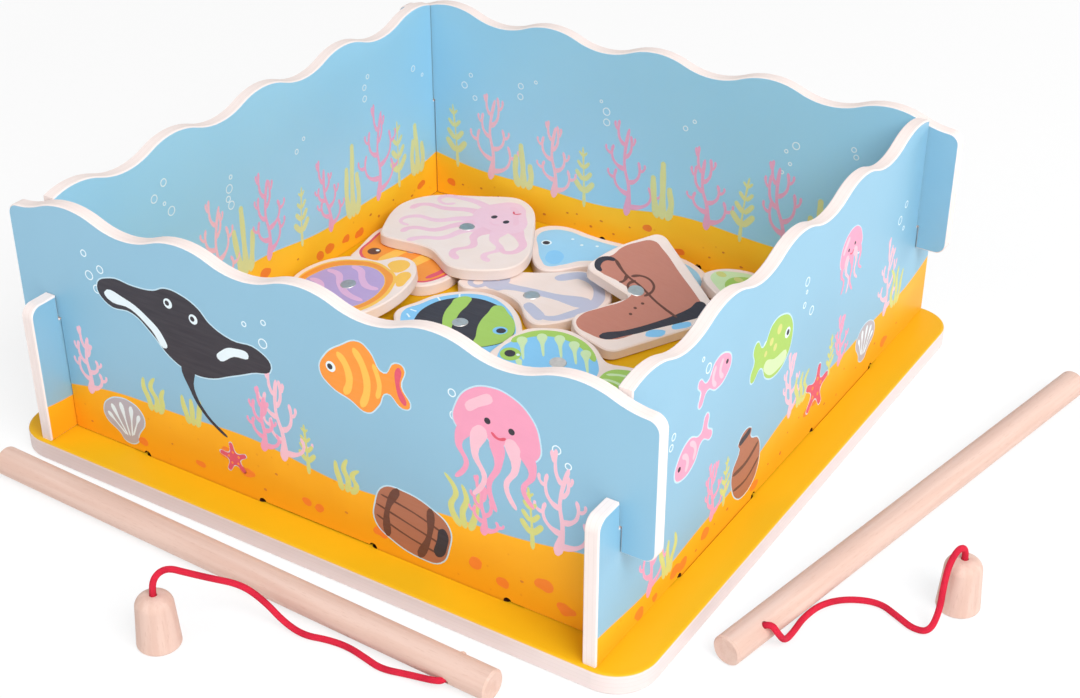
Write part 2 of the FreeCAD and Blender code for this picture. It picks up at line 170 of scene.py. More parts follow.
class RodLook(bpy.types.PropertyGroup):
    """Bare beech of the rods and bells, and the red cords."""
    beech: colour_property("Beech", "#DBBCAE")
    dark_beech: colour_property("Darker rings of the beech", "#D5B3A4")
    ray_fleck: colour_property("Ray flecks of the beech", "#BE9581")
    cord: colour_property("Cord", "#E82B46")
    # Painted shade in the gaps between the cord's strands
    strand_gap_shade: colour_property("Gaps between the cord's strands", "#C6203A")
    cord_diameter: length_property("Cord diameter", 2.5)


class StageLook(bpy.types.PropertyGroup):
    """Camera, lamps and floor."""
    azimuth: bpy.props.FloatProperty(name="Azimuth", description="Direction of the camera in degrees",
                                     default=32.318)
    elevation: bpy.props.FloatProperty(name="Elevation", description="Height of the camera in degrees",
                                       default=31.210)
    roll: bpy.props.FloatProperty(name="Roll", description="Tilt of the camera in degrees", default=0.048)
    distance: length_property("Distance of the camera", 774.9)
    lens: bpy.props.FloatProperty(name="Lens", description="Focal length in millimetres", default=59.79)
    key: bpy.props.FloatProperty(name="Key lamp", description="Power in watts", default=28.0)
    fill: bpy.props.FloatProperty(name="Fill lamp", description="Power in watts", default=4.0)
    window: bpy.props.FloatProperty(name="Low window lamp", description="Power in watts", default=4.5)
    world: bpy.props.FloatProperty(name="World light", description="Strength of the white world", default=0.5)
    floor_glow: bpy.props.FloatProperty(name="Floor glow", description="Share of white in the seen floor",
                                        min=0, max=1, default=0.72)
    paper: colour_property("Paper", "#FAFAFA")
    paper_cloud: colour_property("Clouds in the paper", "#F7F7F7")
    paper_glow: colour_property("Glow of the paper", "#FFFFFF")


def add(tree, kind, inputs=(), **settings):
    """Add one node with its settings; inputs are values, nodes or sockets, in their order or by name."""
    node = tree.nodes.new("ShaderNode" + kind)
    for name, value in settings.items():
        setattr(node, name, value)
    sockets = [socket for socket in node.inputs if socket.enabled]
    if isinstance(inputs, dict):
        named = {socket.name: socket for socket in sockets}
        sockets = [named[name] for name in inputs]
        inputs = inputs.values()
    for socket, value in zip(sockets, inputs):
        if isinstance(value, bpy.types.Node):
            value = next(output for output in value.outputs if output.enabled)
        if isinstance(value, bpy.types.NodeSocket):
            tree.links.new(value, socket)
        else:
            socket.default_value = value
    return node


def new_material(name):
    """Empty node material, and the Object coordinates of the piece that wears it."""
    material = bpy.data.materials.new(name)
    material.use_nodes = True
    tree = material.node_tree
    tree.nodes.clear()
    return material, tree, add(tree, "TexCoord").outputs["Object"]


def end_material(tree, sockets, height, depth=FIBRE_RELIEF, strength=RELIEF_STRENGTH):
    """Close a material with its shader, in relief as a pattern's height says."""
    relief = add(tree, "Bump", {"Height": height, "Strength": strength, "Distance": depth})
    add(tree, "OutputMaterial", (add(tree, "BsdfPrincipled", {**sockets, "Normal": relief}),))


def give(obj, *materials):
    """Put materials into an object's slots."""
    obj.data.materials.clear()
    for material in materials:
        obj.data.materials.append(material)


def drawn_out(tree, at, scale, detail, turn=0):
    """Noise drawn out along an axis, as fibres, streaks, flecks or scratches. The scale is per metre."""
    stretched = add(tree, "Mapping", {"Vector": at, "Rotation": (0, 0, turn), "Scale": scale})
    return add(tree, "TexNoise", (stretched, 1, detail))


def mottled(tree, at, size, colour, other):
    """Colour that drifts to another one in soft patches of a size."""
    return add(tree, "Mix", (add(tree, "TexNoise", (at, 1 / size)), colour, other), data_type="RGBA")


def tinged(tree, colour, other, pattern, share):
    """Colour that takes on at most a share of another one, where a pattern is high."""
    share = add(tree, "Math", (pattern, share), operation="MULTIPLY")
    return add(tree, "Mix", (share, colour, other), data_type="RGBA")


def either(tree, second, pattern, *pairs):
    """Colour between the two of the first pair, by a pattern, or between those of the second pair."""
    mixed = [add(tree, "Mix", (pattern, *pair), data_type="RGBA") for pair in pairs]
    return add(tree, "Mix", (second, *mixed), data_type="RGBA")


def ply_edge(tree, depth, layer, pale, glue, share):
    """Colour of a cut ply edge, by depth from its middle: pale layers with thin darker glue lines between."""
    away = add(tree, "Math", (depth, layer / 2), operation="PINGPONG")
    line = add(tree, "MapRange", (away, 0.42 * layer, 0.48 * layer, 0, share))
    return add(tree, "Mix", (line, pale, glue), data_type="RGBA")


def wall_material(name, outward, look):
    """Screen-printed birch ply, 6 mm thick, satin varnished on both faces and bare along its sanded edges."""
    material, tree, at = new_material(name + "_printed_ply")
    parts = add(tree, "SeparateXYZ", (at,)).outputs
    height = parts["Z"]
    across, along = (parts["Y"], parts["X"]) if outward.x == 0 else (parts["X"], parts["Y"])
    middle = (WALL_OUTER + WALL_INNER) / 2 * (outward.x + outward.y)
    depth = add(tree, "Math", (across, middle), operation="SUBTRACT")
    off = add(tree, "Math", (depth,), operation="ABSOLUTE")
    face = add(tree, "MapRange", (off, WALL_THICKNESS / 2 - 0.12 * MM, WALL_THICKNESS / 2 - 0.03 * MM))
    # The sand line slopes a little and rolls in two waves: a drawn sea bed, not a ruled line
    rise, slope, phase = SAND_LINES[name]
    line = add(tree, "Math", (along, slope, BASE_TOP + rise), operation="MULTIPLY_ADD")
    for length, share in ((LONG_WAVE, 1), (SHORT_WAVE, SHORT_SHARE)):
        angle = add(tree, "Math", (along, math.tau / length, phase), operation="MULTIPLY_ADD")
        wave = add(tree, "Math", (angle,), operation="SINE")
        line = add(tree, "Math", (wave, look.sand_wave * share, line), operation="MULTIPLY_ADD")
    above = add(tree, "Math", (height, line), operation="SUBTRACT")
    wet = add(tree, "MapRange", (above, -0.25 * MM, 0.25 * MM))
    # Water: the flat blue of the print drifts a little over 60 mm, as a hand-mixed ink does
    drift = add(tree, "TexNoise", (at, 1 / (60 * MM)))
    # The inner faces wear lighter copies of the outer water and sand colours, as far as the walls that cross
    # them: painted light that lifts the shade inside the pond
    inner = add(tree, "Math", (depth, -outward.x - outward.y), operation="MULTIPLY")
    inner = add(tree, "Math", (inner, 0), operation="GREATER_THAN")
    reach = add(tree, "Math", (along,), operation="ABSOLUTE")
    enclosed = add(tree, "Math", (reach, WALL_INNER), operation="LESS_THAN")
    inner = add(tree, "Math", (inner, enclosed), operation="MULTIPLY")
    water = either(tree, inner, drift, (look.water, look.deep_water),
                   (look.shade_lifted_inner_water, look.shade_lifted_inner_deep_water))
    # Sand: an uneven deeper tone 4 to 34 mm below the line, with spots 22 mm across, gives the bed its weight
    spots = add(tree, "TexNoise", (at, 1 / (22 * MM)))
    sink = add(tree, "Math", (spots, -30 * MM, above), operation="MULTIPLY_ADD")
    tone = add(tree, "MapRange", (sink, -34 * MM, -4 * MM), interpolation_type="SMOOTHSTEP")
    # The inner faces take the lighter sands, painted light against the shade inside the pond
    sand = either(tree, inner, tone, (look.dark_sand, look.sand), (look.shade_lifted_inner_dark_sand, look.shade_lifted_inner_sand))
    # Printed grains of sand, dots 1 mm across on a 7 mm spacing
    cells = add(tree, "TexVoronoi", (at, 1 / (7 * MM))).outputs["Distance"]
    dots = add(tree, "MapRange", (cells, 0.10, 0.06, 0, 0.35))
    sand = add(tree, "Mix", (dots, sand, look.sand_grain), data_type="RGBA")
    printed = add(tree, "Mix", (wet, sand, water), data_type="RGBA")
    # Birch fibres, 1 mm wide and 8 mm long, drawn coarser than the real 0.1 mm so that the edge reads as wood
    fibre = drawn_out(tree, at, (900, 900, 120), 4)
    bare = ply_edge(tree, depth, WALL_THICKNESS / 3, look.cut_edge, look.glue_line, 0.18)
    bare = tinged(tree, bare, look.edge_fibre, fibre, 0.25)
    # Beside the tongues, up to 2 mm above the base board, the cut edge turns dark brown: partly the router's
    # scorch on its round reliefs, partly painted shade in those recesses
    foot_scorch_and_shade = add(tree, "MapRange", (height, BASE_TOP + 2.0 * MM, BASE_TOP + 1.7 * MM))
    tongues = add(tree, "Math", (reach, TONGUE_REACH), operation="LESS_THAN")
    foot_scorch_and_shade = add(tree, "Math", (foot_scorch_and_shade, tongues), operation="MULTIPLY")
    bare = add(tree, "Mix", (foot_scorch_and_shade, bare, look.scorch_and_recess_shade), data_type="RGBA")
    colour = add(tree, "Mix", (face, bare, printed), data_type="RGBA")
    # Varnish makes the water ink shine softly; the sand ink has more pigment and is duller, as bare wood is
    rough = add(tree, "MapRange", (face, 0, 1, 0.75, 0.45))
    varnished = add(tree, "Math", (face, wet), operation="MULTIPLY")
    shine = add(tree, "MapRange", (varnished, 0, 1, 0.2, 0.9))
    end_material(tree, {"Base Color": colour, "Roughness": rough, "Specular IOR Level": shine}, fibre)
    return material


def base_material(look):
    """Screen-printed birch ply, 9 mm thick: satin yellow top, sanded edge, slots dark with scorch and painted
    shade, bare underside.
    """
    material, tree, at = new_material("base_printed_ply")
    parts = add(tree, "SeparateXYZ", (at,)).outputs
    top = add(tree, "MapRange", (parts["Z"], BASE_TOP - 0.75 * MM, BASE_TOP - 0.35 * MM),
              interpolation_type="SMOOTHSTEP")
    # The yellow drifts a little over 45 mm, so that the large flat top is not one dead tone
    printed = mottled(tree, at, 45 * MM, look.base_top, look.base_light)
    # Fibres of the face veneer along X, 1 mm wide and 25 mm long, drawn coarser than real to be seen at all
    fibre = drawn_out(tree, at, (40, 900, 900), 4)
    depth = add(tree, "Math", (parts["Z"], BASE_TOP / 2), operation="SUBTRACT")
    bare = ply_edge(tree, depth, BASE_TOP / 5, look.base_edge, look.glue_line, 0.2)
    bare = tinged(tree, bare, look.edge_fibre, fibre, 0.2)
    # Inside the slots the ply turns dark brown: partly the router's scorch, partly painted shade down in the
    # slots. It draws a dark line at each tongue's ends
    sides = [add(tree, "Math", (parts[axis],), operation="ABSOLUTE") for axis in "XY"]
    outermost = add(tree, "Math", sides, operation="MAXIMUM")
    slots = add(tree, "MapRange", (outermost, WALL_OUTER + 3 * MM, WALL_OUTER + 2 * MM))
    bare = add(tree, "Mix", (slots, bare, look.scorch_and_recess_shade), data_type="RGBA")
    colour = add(tree, "Mix", (top, bare, printed), data_type="RGBA")
    rough = add(tree, "MapRange", (top, 0, 1, 0.75, 0.5))
    end_material(tree, {"Base Color": colour, "Roughness": rough, "Specular IOR Level": 0.2}, fibre)
    return material


def birch_material(look):
    """Bare birch ply, finely sanded: cream faces with soft warm patches and short fine fibres."""
    material, tree, at = new_material("sanded_birch_ply")
    # Fibres 0.3 mm wide and 15 mm long, lying at half a radian to X
    fibre = drawn_out(tree, at, (67, 3300, 3300), 3, 0.5)
    # Warm patches 12 mm across, where the veneer's early and late wood meet
    warm = mottled(tree, at, 12 * MM, look.ply, look.ply_warm)
    colour = tinged(tree, warm, look.ply_fibre, fibre, 0.25)
    end_material(tree, {"Base Color": colour, "Roughness": 0.6, "Specular IOR Level": 0.3}, fibre)
    return material


def beech_material(name, look, place, turn):
    """Turned beech, finely sanded and bare: pale pinkish wood, streaked along its own axis."""
    material, tree, at = new_material(name)
    own = add(tree, "Mapping", (at, place, turn), vector_type="TEXTURE")
    # Growth rings 3 mm apart, cut lengthwise, show as long faint streaks that wander a little
    streaks = drawn_out(tree, own, (12, 330, 330), 2)
    band = add(tree, "MapRange", (streaks, 0.38, 0.62, 0, 1), interpolation_type="SMOOTHSTEP")
    wood = add(tree, "Mix", (band, look.beech, look.dark_beech), data_type="RGBA")
    # Ray flecks, the short dark dashes that mark beech, 0.4 mm wide and 4 mm long
    flecks = drawn_out(tree, own, (250, 2500, 2500), 3)
    share = add(tree, "MapRange", (flecks, 0.58, 0.70, 0, 0.30), interpolation_type="SMOOTHSTEP")
    colour = add(tree, "Mix", (share, wood, look.ray_fleck), data_type="RGBA")
    end_material(tree, {"Base Color": colour, "Roughness": 0.55, "Specular IOR Level": 0.3}, flecks,
                 strength=0.5)
    return material


def steel_material(name, look):
    """Zinc- or nickel-plated steel: light grey metal, brighter and duller in patches, with fine scratches."""
    material, tree, at = new_material(name)
    # Patches 2.5 mm across, where handling has dulled the plating
    patch = add(tree, "TexNoise", (at, 1 / (2.5 * MM)))
    colour = add(tree, "Mix", (patch, look.steel, look.worn_steel), data_type="RGBA")
    rough = add(tree, "MapRange", (patch, 0.3, 0.7, 0.30, 0.48))
    # Tumbling scratches 0.1 mm wide and 2 mm long
    scratches = drawn_out(tree, at, (500, 10000, 500), 2, 0.8)
    end_material(tree, {"Base Color": colour, "Metallic": 1.0, "Roughness": rough}, scratches, 0.01 * MM, 0.4)
    return material


def ink_material(ink):
    """Screen-print ink under satin varnish: slightly thicker and thinner over the wood's fibres."""
    material, tree, at = new_material("screen_ink_" + ink)
    colour = getattr(bpy.context.scene.ink_look, ink)
    thin = [*[channel + (1 - channel) * 0.05 for channel in colour[:3]], 1]
    thick = [*[channel * 0.92 for channel in colour[:3]], 1]
    # The squeegee leaves more ink in some places, 6 mm across
    base = mottled(tree, at, 6 * MM, colour, thick)
    # Veneer fibres 1 mm wide and 12 mm long show through as paler streaks
    fibre = drawn_out(tree, at, (80, 900, 900), 3)
    streaked = tinged(tree, base, thin, fibre, 0.6)
    end_material(tree, {"Base Color": streaked, "Roughness": 0.5, "Specular IOR Level": 0.3}, fibre,
                 0.02 * MM)
    return material


def cord_material(look, length):
    """Braided cotton cord: strands crossing both ways round it, with painted shade in the gaps between them.
    """
    material, tree, at = new_material("braided_red_cord")
    around, lengthwise = add(tree, "SeparateXYZ", (add(tree, "TexCoord").outputs["UV"],)).outputs[:2]
    # One strand crosses the cord in 3 mm of its length, drawn coarser than the real 1 mm to be seen
    crossings = add(tree, "Math", (lengthwise, length / (3 * MM)), operation="MULTIPLY")
    strands = []
    for way in (1, -1):
        lead = add(tree, "Math", (around, way * 4, crossings), operation="MULTIPLY_ADD")
        angle = add(tree, "Math", (lead, math.tau), operation="MULTIPLY")
        strands.append(add(tree, "Math", (angle,), operation="SINE"))
    weave = add(tree, "Math", strands, operation="MAXIMUM")
    # Cotton fluff, 0.5 mm spots, breaks the strands' shine
    fluff = add(tree, "TexNoise", (at, 1 / (0.5 * MM)))
    height = add(tree, "Math", (fluff, 0.4, weave), operation="MULTIPLY_ADD")
    # Painted shade: the cord darkens where the braid sinks between its strands
    strand_gap_shade_mask = add(tree, "MapRange", (height, 0.95, 0.0, 0, 0.8), interpolation_type="SMOOTHSTEP")
    colour = add(tree, "Mix", (strand_gap_shade_mask, look.cord, look.strand_gap_shade), data_type="RGBA")
    end_material(tree, {"Base Color": colour, "Roughness": 0.8, "Specular IOR Level": 0.15}, height,
                 0.15 * MM)
    return material


def floor_material(look):
    """White studio paper, seen by the camera and in reflections as near white with faint contact shadows."""
    material, tree, at = new_material("white_studio_paper")
    # Pulp of the paper, 8 mm cloudiness, only just there
    colour = mottled(tree, at, 8 * MM, look.paper, look.paper_cloud)
    paper = add(tree, "BsdfPrincipled", {"Base Color": colour, "Roughness": 0.9})
    glow = add(tree, "Emission", {"Color": look.paper_glow})
    rays = add(tree, "LightPath").outputs
    seen = add(tree, "Math", (rays["Is Camera Ray"], rays["Is Glossy Ray"]), operation="MAXIMUM")
    # The paper keeps the set's shadow and turns to plain white away from it, so that no horizon shows
    away = add(tree, "VectorMath", (at,), operation="LENGTH")
    glowing = add(tree, "MapRange", (away, *FLOOR_FADE, look.floor_glow, 1))
    share = add(tree, "Math", (seen, glowing), operation="MULTIPLY")
    add(tree, "OutputMaterial", (add(tree, "MixShader", (share, paper, glow)),))
    return material


# Flat shapes of the prints, in millimetres

MOTIF_RIM = 0.6              # pale rim round a motif
HAIRS = 31                   # steps in height that tell crossing shapes of one layer apart
HAIR_SHARE = 0.9             # share of a layer's thickness that the steps take in all


def outline_mesh(outlines, low, high):
    """Closed flat solid inside a smooth outline, from low to high above z = 0. Later outlines are holes."""
    curve = bpy.data.curves.new("outline", "CURVE")
    curve.dimensions = "2D"
    curve.fill_mode = "BOTH"
    curve.resolution_u = 5
    curve.extrude = (high - low) / 2
    for points in outlines:
        spline = curve.splines.new("BEZIER")
        spline.bezier_points.add(len(points) - 1)
        spline.use_cyclic_u = True
        for point, (x, y) in zip(spline.bezier_points, points):
            point.co = (x * MM, y * MM, 0)
            point.handle_left_type = "AUTO"
            point.handle_right_type = "AUTO"
    holder = bpy.data.objects.new("outline", curve)
    mesh = bpy.data.meshes.new_from_object(holder)
    mesh.transform(Matrix.Translation(UP * (high + low) / 2))
    bpy.data.objects.remove(holder)
    bpy.data.curves.remove(curve)
    return mesh


def turned(points, degrees=0, scale=1.0, at=(0, 0), flip=False):
    """Points turned, scaled and moved in the plane."""
    angle = math.radians(degrees)
    side = -scale if flip else scale
    return [(at[0] + side * x * math.cos(angle) - scale * y * math.sin(angle),
             at[1] + side * x * math.sin(angle) + scale * y * math.cos(angle)) for x, y in points]


def strand(points, widths):
    """Outline of a stroke along points, as wide as each point's width."""
    left, right = [], []
    for index, (x, y) in enumerate(points):
        before, after = points[max(index - 1, 0)], points[min(index + 1, len(points) - 1)]
        run = math.hypot(after[0] - before[0], after[1] - before[1])
        across = (-(after[1] - before[1]) / run, (after[0] - before[0]) / run)
        half = widths[index] / 2
        left.append((x + across[0] * half, y + across[1] * half))
        right.append((x - across[0] * half, y - across[1] * half))
    return left + right[::-1]


def circle(centre, radius, squash=1.0, count=8):
    """Round outline."""
    return [(centre[0] + radius * math.cos(math.tau * k / count),
             centre[1] + radius * squash * math.sin(math.tau * k / count)) for k in range(count)]


def grown(points, by):
    """Outline moved outwards by a distance; a negative distance moves it inwards."""
    pairs = list(zip(points, points[1:] + points[:1]))
    turn = 1 if sum(a[0] * b[1] - b[0] * a[1] for a, b in pairs) > 0 else -1
    result = []
    for index, (x, y) in enumerate(points):
        before, after = points[index - 1], points[(index + 1) % len(points)]
        run = math.hypot(after[0] - before[0], after[1] - before[1]) * turn
        result.append((x + by * (after[1] - before[1]) / run, y - by * (after[0] - before[0]) / run))
    return result


class Print:
    """Layers of ink laid on one face of a piece, in millimetres on that face."""

    def __init__(self, matrix):
        self.matrix = matrix
        self.layers = []

    def lay(self, ink, level, points, widths=None, hole=None):
        """One shape with a smooth outline, and maybe a hole, or one stroke as wide as given at each point."""
        outline = strand(points, widths) if widths else points
        self.layers.append((ink, level, [outline, hole] if hole else [outline]))

    def stamp(self, motif, at, degrees=0, scale=1.0, flip=False):
        """One motif with a thin pale rim round its first shape."""
        self.lay("pale_water", 1, turned(grown(motif[0][2], MOTIF_RIM), degrees, scale, at, flip))
        for ink, level, points, *widths in motif:
            widths = [[width * scale for width in row] for row in widths]
            self.lay(ink, level, turned(points, degrees, scale, at, flip), *widths)


# Motifs, in millimetres: ink, layer and outline, or a line with its widths. The first is the silhouette

RAY = [
    ("slate", 2, [(2, 17), (-7, 15), (-13, 11), (-24, 9), (-37, 11), (-44, 6), (-35, -1), (-25, -8),
        (-14, -15), (-4, -17), (6, -15), (15, -9), (26, -4), (39, -6), (45, 0), (38, 7), (26, 9), (16, 12),
        (10, 16)]),
    ("slate", 2, [(-3, -14), (-6, -25), (-14, -34), (-25, -39)], [5, 2.6, 1.6, 0.6]),
    ("foam_white", 3, [(8, -12), (16, -7), (27, -2.5), (39, -3.5), (41, -1), (30, 1), (18, -2), (10, -7)]),
    ("foam_white", 3, [(-33, 6), (-26, 2), (-18, -3), (-20, 2), (-26, 6)]),
    ("foam_white", 3, circle((-5, 9), 2.2)),
    ("foam_white", 3, circle((8, 10), 2.2)),
    ("slate", 4, circle((-4.6, 9), 1.1)),
    ("slate", 4, circle((8.4, 10), 1.1)),
]
FISH = [
    ("sun_orange", 2, [(-17, 0), (-13, 7), (-5, 12), (4, 15), (8, 12), (13, 4), (19, 9), (22.5, 8), (20, 0),
        (22.5, -8), (19, -9), (13, -4), (8, -10), (2, -14), (-5, -10), (-13, -6)]),
    ("stripe_yellow", 3, [(-7, 9), (-4, 4), (-4, -3), (-7, -8)], [1.2, 3, 3, 1.2]),
    ("stripe_yellow", 3, [(1, 12), (4, 5), (4, -4), (0, -12)], [1.2, 3, 3, 1.2]),
    ("stripe_yellow", 3, [(9, 7), (10, 2), (10, -2), (8, -7)], [0.8, 2, 2, 0.8]),
    ("rose", 3, [(20.5, 7.4), (18.6, 0), (20.5, -7.4)], [1.2, 1.8, 1.2]),
    ("foam_white", 3, circle((-11.5, 2.4), 2.2)),
    ("slate", 4, circle((-11.8, 2.4), 1.2)),
]
JELLYFISH = [
    ("coral_pink", 2, [(-17, -2), (-17, 7), (-12, 15), (-4, 19), (4, 19), (12, 15), (17, 7), (17, -2),
        (11, -4), (6, -1), (0, -4), (-6, -1), (-11, -4)]),
    ("coral_pink", 2, [(-12, -1), (-15, -10), (-11, -17), (-15, -25)], [4, 3, 2.2, 0.8]),
    ("pale_pink", 2, [(-6, 1), (-8, -11), (-3, -20), (-7, -29)], [4, 3, 2.2, 0.8]),
    ("coral_pink", 2, [(0, -1), (2, -12), (-1, -22), (3, -32)], [4, 3, 2.2, 0.8]),
    ("pale_pink", 2, [(6, 1), (9, -10), (6, -19), (11, -27)], [4, 3, 2.2, 0.8]),
    ("coral_pink", 2, [(12, -1), (16, -9), (13, -17), (18, -23)], [4, 3, 2.2, 0.8]),
    ("pale_pink", 3, [(-13, 6), (-9, 13), (-3, 15.5), (-8, 9)]),
    ("slate", 3, circle((-4, 5), 1.3)),
    ("slate", 3, circle((6, 5), 1.3)),
    ("rose", 3, [(-2, 1), (1, -0.4), (4, 1)], [0.5, 1, 0.5]),
]
BARREL = [
    ("barrel_brown", 2, [(-15, -9), (-17, 0), (-15, 9), (-7, 12.5), (7, 12.5), (15, 9), (17, 0), (15, -9),
        (7, -12.5), (-7, -12.5)]),
    ("dark_brown", 3, [(-9, 12), (-11.5, 0), (-9, -12)], [1.6, 2.2, 1.6]),
    ("dark_brown", 3, [(6, 12.4), (8, 0), (6, -12.4)], [1.6, 2.2, 1.6]),
    ("dark_brown", 3, [(-15.5, 5), (0, 6), (14, 5)], [0.4, 0.7, 0.4]),
    ("dark_brown", 3, [(-16.5, -0.5), (0, -0.5), (14, -0.5)], [0.4, 0.7, 0.4]),
    ("dark_brown", 3, [(-15.5, -5.5), (0, -6.5), (14, -5.5)], [0.4, 0.7, 0.4]),
    ("slate", 4, [(12.5, -7), (11.5, 0), (12.5, 7), (15, 6), (16.2, 0), (15, -6)]),
]
SHELL = [
    ("shell_grey", 2, [(-4, -11), (-6, -7), (-13, 1), (-12, 7), (-7, 11), (0, 12.5), (7, 11), (12, 7),
        (13, 1), (6, -7), (4, -11)]),
    ("foam_white", 3, [(0, -8), (0, 0), (0, 10)], [0.4, 0.9, 1.3]),
    ("foam_white", 3, [(-1.5, -8), (-4, 0), (-6.5, 8.5)], [0.4, 0.9, 1.3]),
    ("foam_white", 3, [(1.5, -8), (4, 0), (6.5, 8.5)], [0.4, 0.9, 1.3]),
    ("foam_white", 3, [(-2.5, -7.5), (-7, -1), (-10.5, 4)], [0.4, 0.8, 1.1]),
    ("foam_white", 3, [(2.5, -7.5), (7, -1), (10.5, 4)], [0.4, 0.8, 1.1]),
]
STAR_TIP, STAR_DIP, STAR_DOT = 12, 5, 4.5
STARFISH = [
    ("rose", 2, [((STAR_TIP, STAR_DIP)[step % 2] * math.sin(math.pi * step / 5),
        (STAR_TIP, STAR_DIP)[step % 2] * math.cos(math.pi * step / 5)) for step in range(10)]),
    *[("sun_orange", 3, circle((STAR_DOT * math.sin(math.tau * step / 5),
        STAR_DOT * math.cos(math.tau * step / 5)), 0.9, 1, 6)) for step in range(5)],
]
POT = [
    ("barrel_brown", 2, [(-6, 17), (-5, 13), (-12, 6), (-13, -3), (-9, -12), (-4, -15), (4, -15), (9, -12),
        (13, -3), (12, 6), (5, 13), (6, 17)]),
    ("dark_brown", 3, [(-12, 4), (0, 1.5), (12, 4)], [0.8, 2, 0.8]),
    ("dark_brown", 3, [(-12, -5), (0, -8), (12, -5)], [0.6, 1.2, 0.6]),
    ("slate", 3, [(-5.4, 16.6), (0, 14.8), (5.4, 16.6), (0, 18)]),
]
PUFFER = [
    ("leaf_green", 2, [(-14, 0), (-11, 8), (-3, 12), (6, 11), (12, 4), (18, 8), (20, 5), (18, 0), (20, -5),
        (18, -8), (12, -4), (6, -10), (-3, -12), (-11, -8)]),
    ("pale_green", 3, [(-11, -6), (-3, -10.5), (6, -8.5), (9, -4), (0, -4.5)]),
    ("weed_green", 3, circle((-1, 7), 2)),
    ("weed_green", 3, circle((5, 4), 1.6)),
    ("weed_green", 3, circle((1, 0.5), 1.5)),
    ("weed_green", 3, circle((9, 0.5), 1.2)),
    ("foam_white", 3, circle((-9, 3), 2.2)),
    ("slate", 4, circle((-9.3, 3), 1.2)),
]
MINNOW = [
    ("coral_pink", 2, [(-10, 0), (-6, 5), (1, 6), (7, 1.5), (12, 5.5), (13, 4), (11, 0), (13, -4), (12, -5.5),
        (7, -1.5), (1, -5), (-6, -4.5)]),
    ("pale_pink", 3, [(-4, 4), (-2, 0), (-4, -3.5)], [0.8, 1.6, 0.8]),
    ("pale_pink", 3, [(1, 4.4), (3, 0), (1, -3.6)], [0.8, 1.6, 0.8]),
    ("slate", 3, circle((-7, 1), 0.9, 1, 6)),
]


# Plants, stones and bubbles, in millimetres

ROOT_DEPTH = 3               # the plants start this far below the sand line
RING_WIDTH = 0.45            # line of a bubble
STONE_SHARE = 0.35           # share of the pebbles that are stones
PEBBLE_SPAN = 118            # the pebbles reach this far to both sides of a wall's middle
PEBBLE_SPACING = 11
PEBBLE_FOOT = 11             # height of the lowest pebble
PEBBLE_MARGIN = 4            # room left under the sand line


def sprung(foot, wide, tall, points):
    """Points given as shares of a width and a height, moved to a foot."""
    return [(foot[0] + wide * x, foot[1] + tall * y) for x, y in points]


def coral(page, at, height, ink, dice):
    """Branched coral: a wavy stem with upright fingers on both sides."""
    lean = dice.uniform(-0.12, 0.12)

    def stem(share):
        return (at[0] + height * (lean * share + 0.035 * math.sin(7 * share)), at[1] + height * share)

    page.lay(ink, 1, [stem(share) for share in (0, 0.3, 0.6, 1)], [1.8, 1.9, 1.5, 0.8])
    for number in range(6):
        share = 0.10 + 0.14 * number
        side = -1 if number % 2 else 1
        reach = side * height * dice.uniform(0.14, 0.22) * (1.1 - share)
        tall = height * dice.uniform(0.24, 0.38)
        finger = sprung(stem(share), reach, tall, ((0, 0), (1, 0.22), (1.35, 0.6), (1.2, 1)))
        page.lay(ink, 1, finger, [1.3, 1.5, 1.3, 0.7])
        twig = sprung(finger[2], reach, tall, ((0, 0), (0.5, 0.12), (0.6, 0.34)))
        page.lay(ink, 1, twig, [1.0, 1.1, 0.6])


def blades(page, at, height, ink, dice):
    """Tuft of three tapered, wavy blades."""
    for way in (-1, 0, 1):
        spread = way * height * 0.2
        sway = dice.uniform(-0.08, 0.08) * height
        tall = height * dice.uniform(0.7, 1)
        foot = at[0] + way * 2.2
        page.lay(ink, 1, [(foot, at[1]), (foot + spread * 0.5 + sway, at[1] + tall * 0.36),
                          (foot + spread * 0.6 - sway, at[1] + tall * 0.7),
                          (foot + spread + sway, at[1] + tall)], [1.2, 2.6, 2.4, 0.5])


def leafy_stem(page, at, height, ink, dice):
    """Thin stem with pairs of small leaves."""
    lean = dice.uniform(-0.1, 0.1) * height
    page.lay(ink, 1, sprung(at, lean, height, ((0, 0), (0.3, 0.5), (1, 1))), [0.9, 0.8, 0.5])
    for share in (0.25, 0.45, 0.65, 0.85):
        for side in (-1, 1):
            size = height * 0.15 * (1.25 - share)
            leaf = sprung((0, 0), size, size, ((0, 0), (0.8, 0.45), (1.7, 0.4), (1, -0.15)))
            foot = (at[0] + lean * share, at[1] + height * share)
            page.lay(ink, 1, turned(leaf, 35 * side, 1, foot, side < 0))


def fingers(page, at, height, ink, dice):
    """Three thick upright fingers with round tips."""
    for offset, share in ((-4.6, 0.72), (0, 1), (4.8, 0.58)):
        sway = dice.uniform(-1.5, 1.5)
        page.lay(ink, 1, [(at[0] + offset * 0.6, at[1]), (at[0] + offset, at[1] + height * share * 0.45),
                          (at[0] + offset + sway, at[1] + height * share * 0.9),
                          (at[0] + offset + sway, at[1] + height * share)], [1.8, 3.0, 2.8, 1.6])


def bubbles(page, at, count, dice):
    """Rising column of thin white rings."""
    for number in range(count):
        radius = dice.uniform(0.9, 2.2)
        centre = (at[0] + dice.uniform(-6, 6), at[1] + number * 5 + dice.uniform(-1, 1))
        page.lay("foam_white", 1, circle(centre, radius, 1, 6),
                 hole=circle(centre, radius - RING_WIDTH, 1, 6))


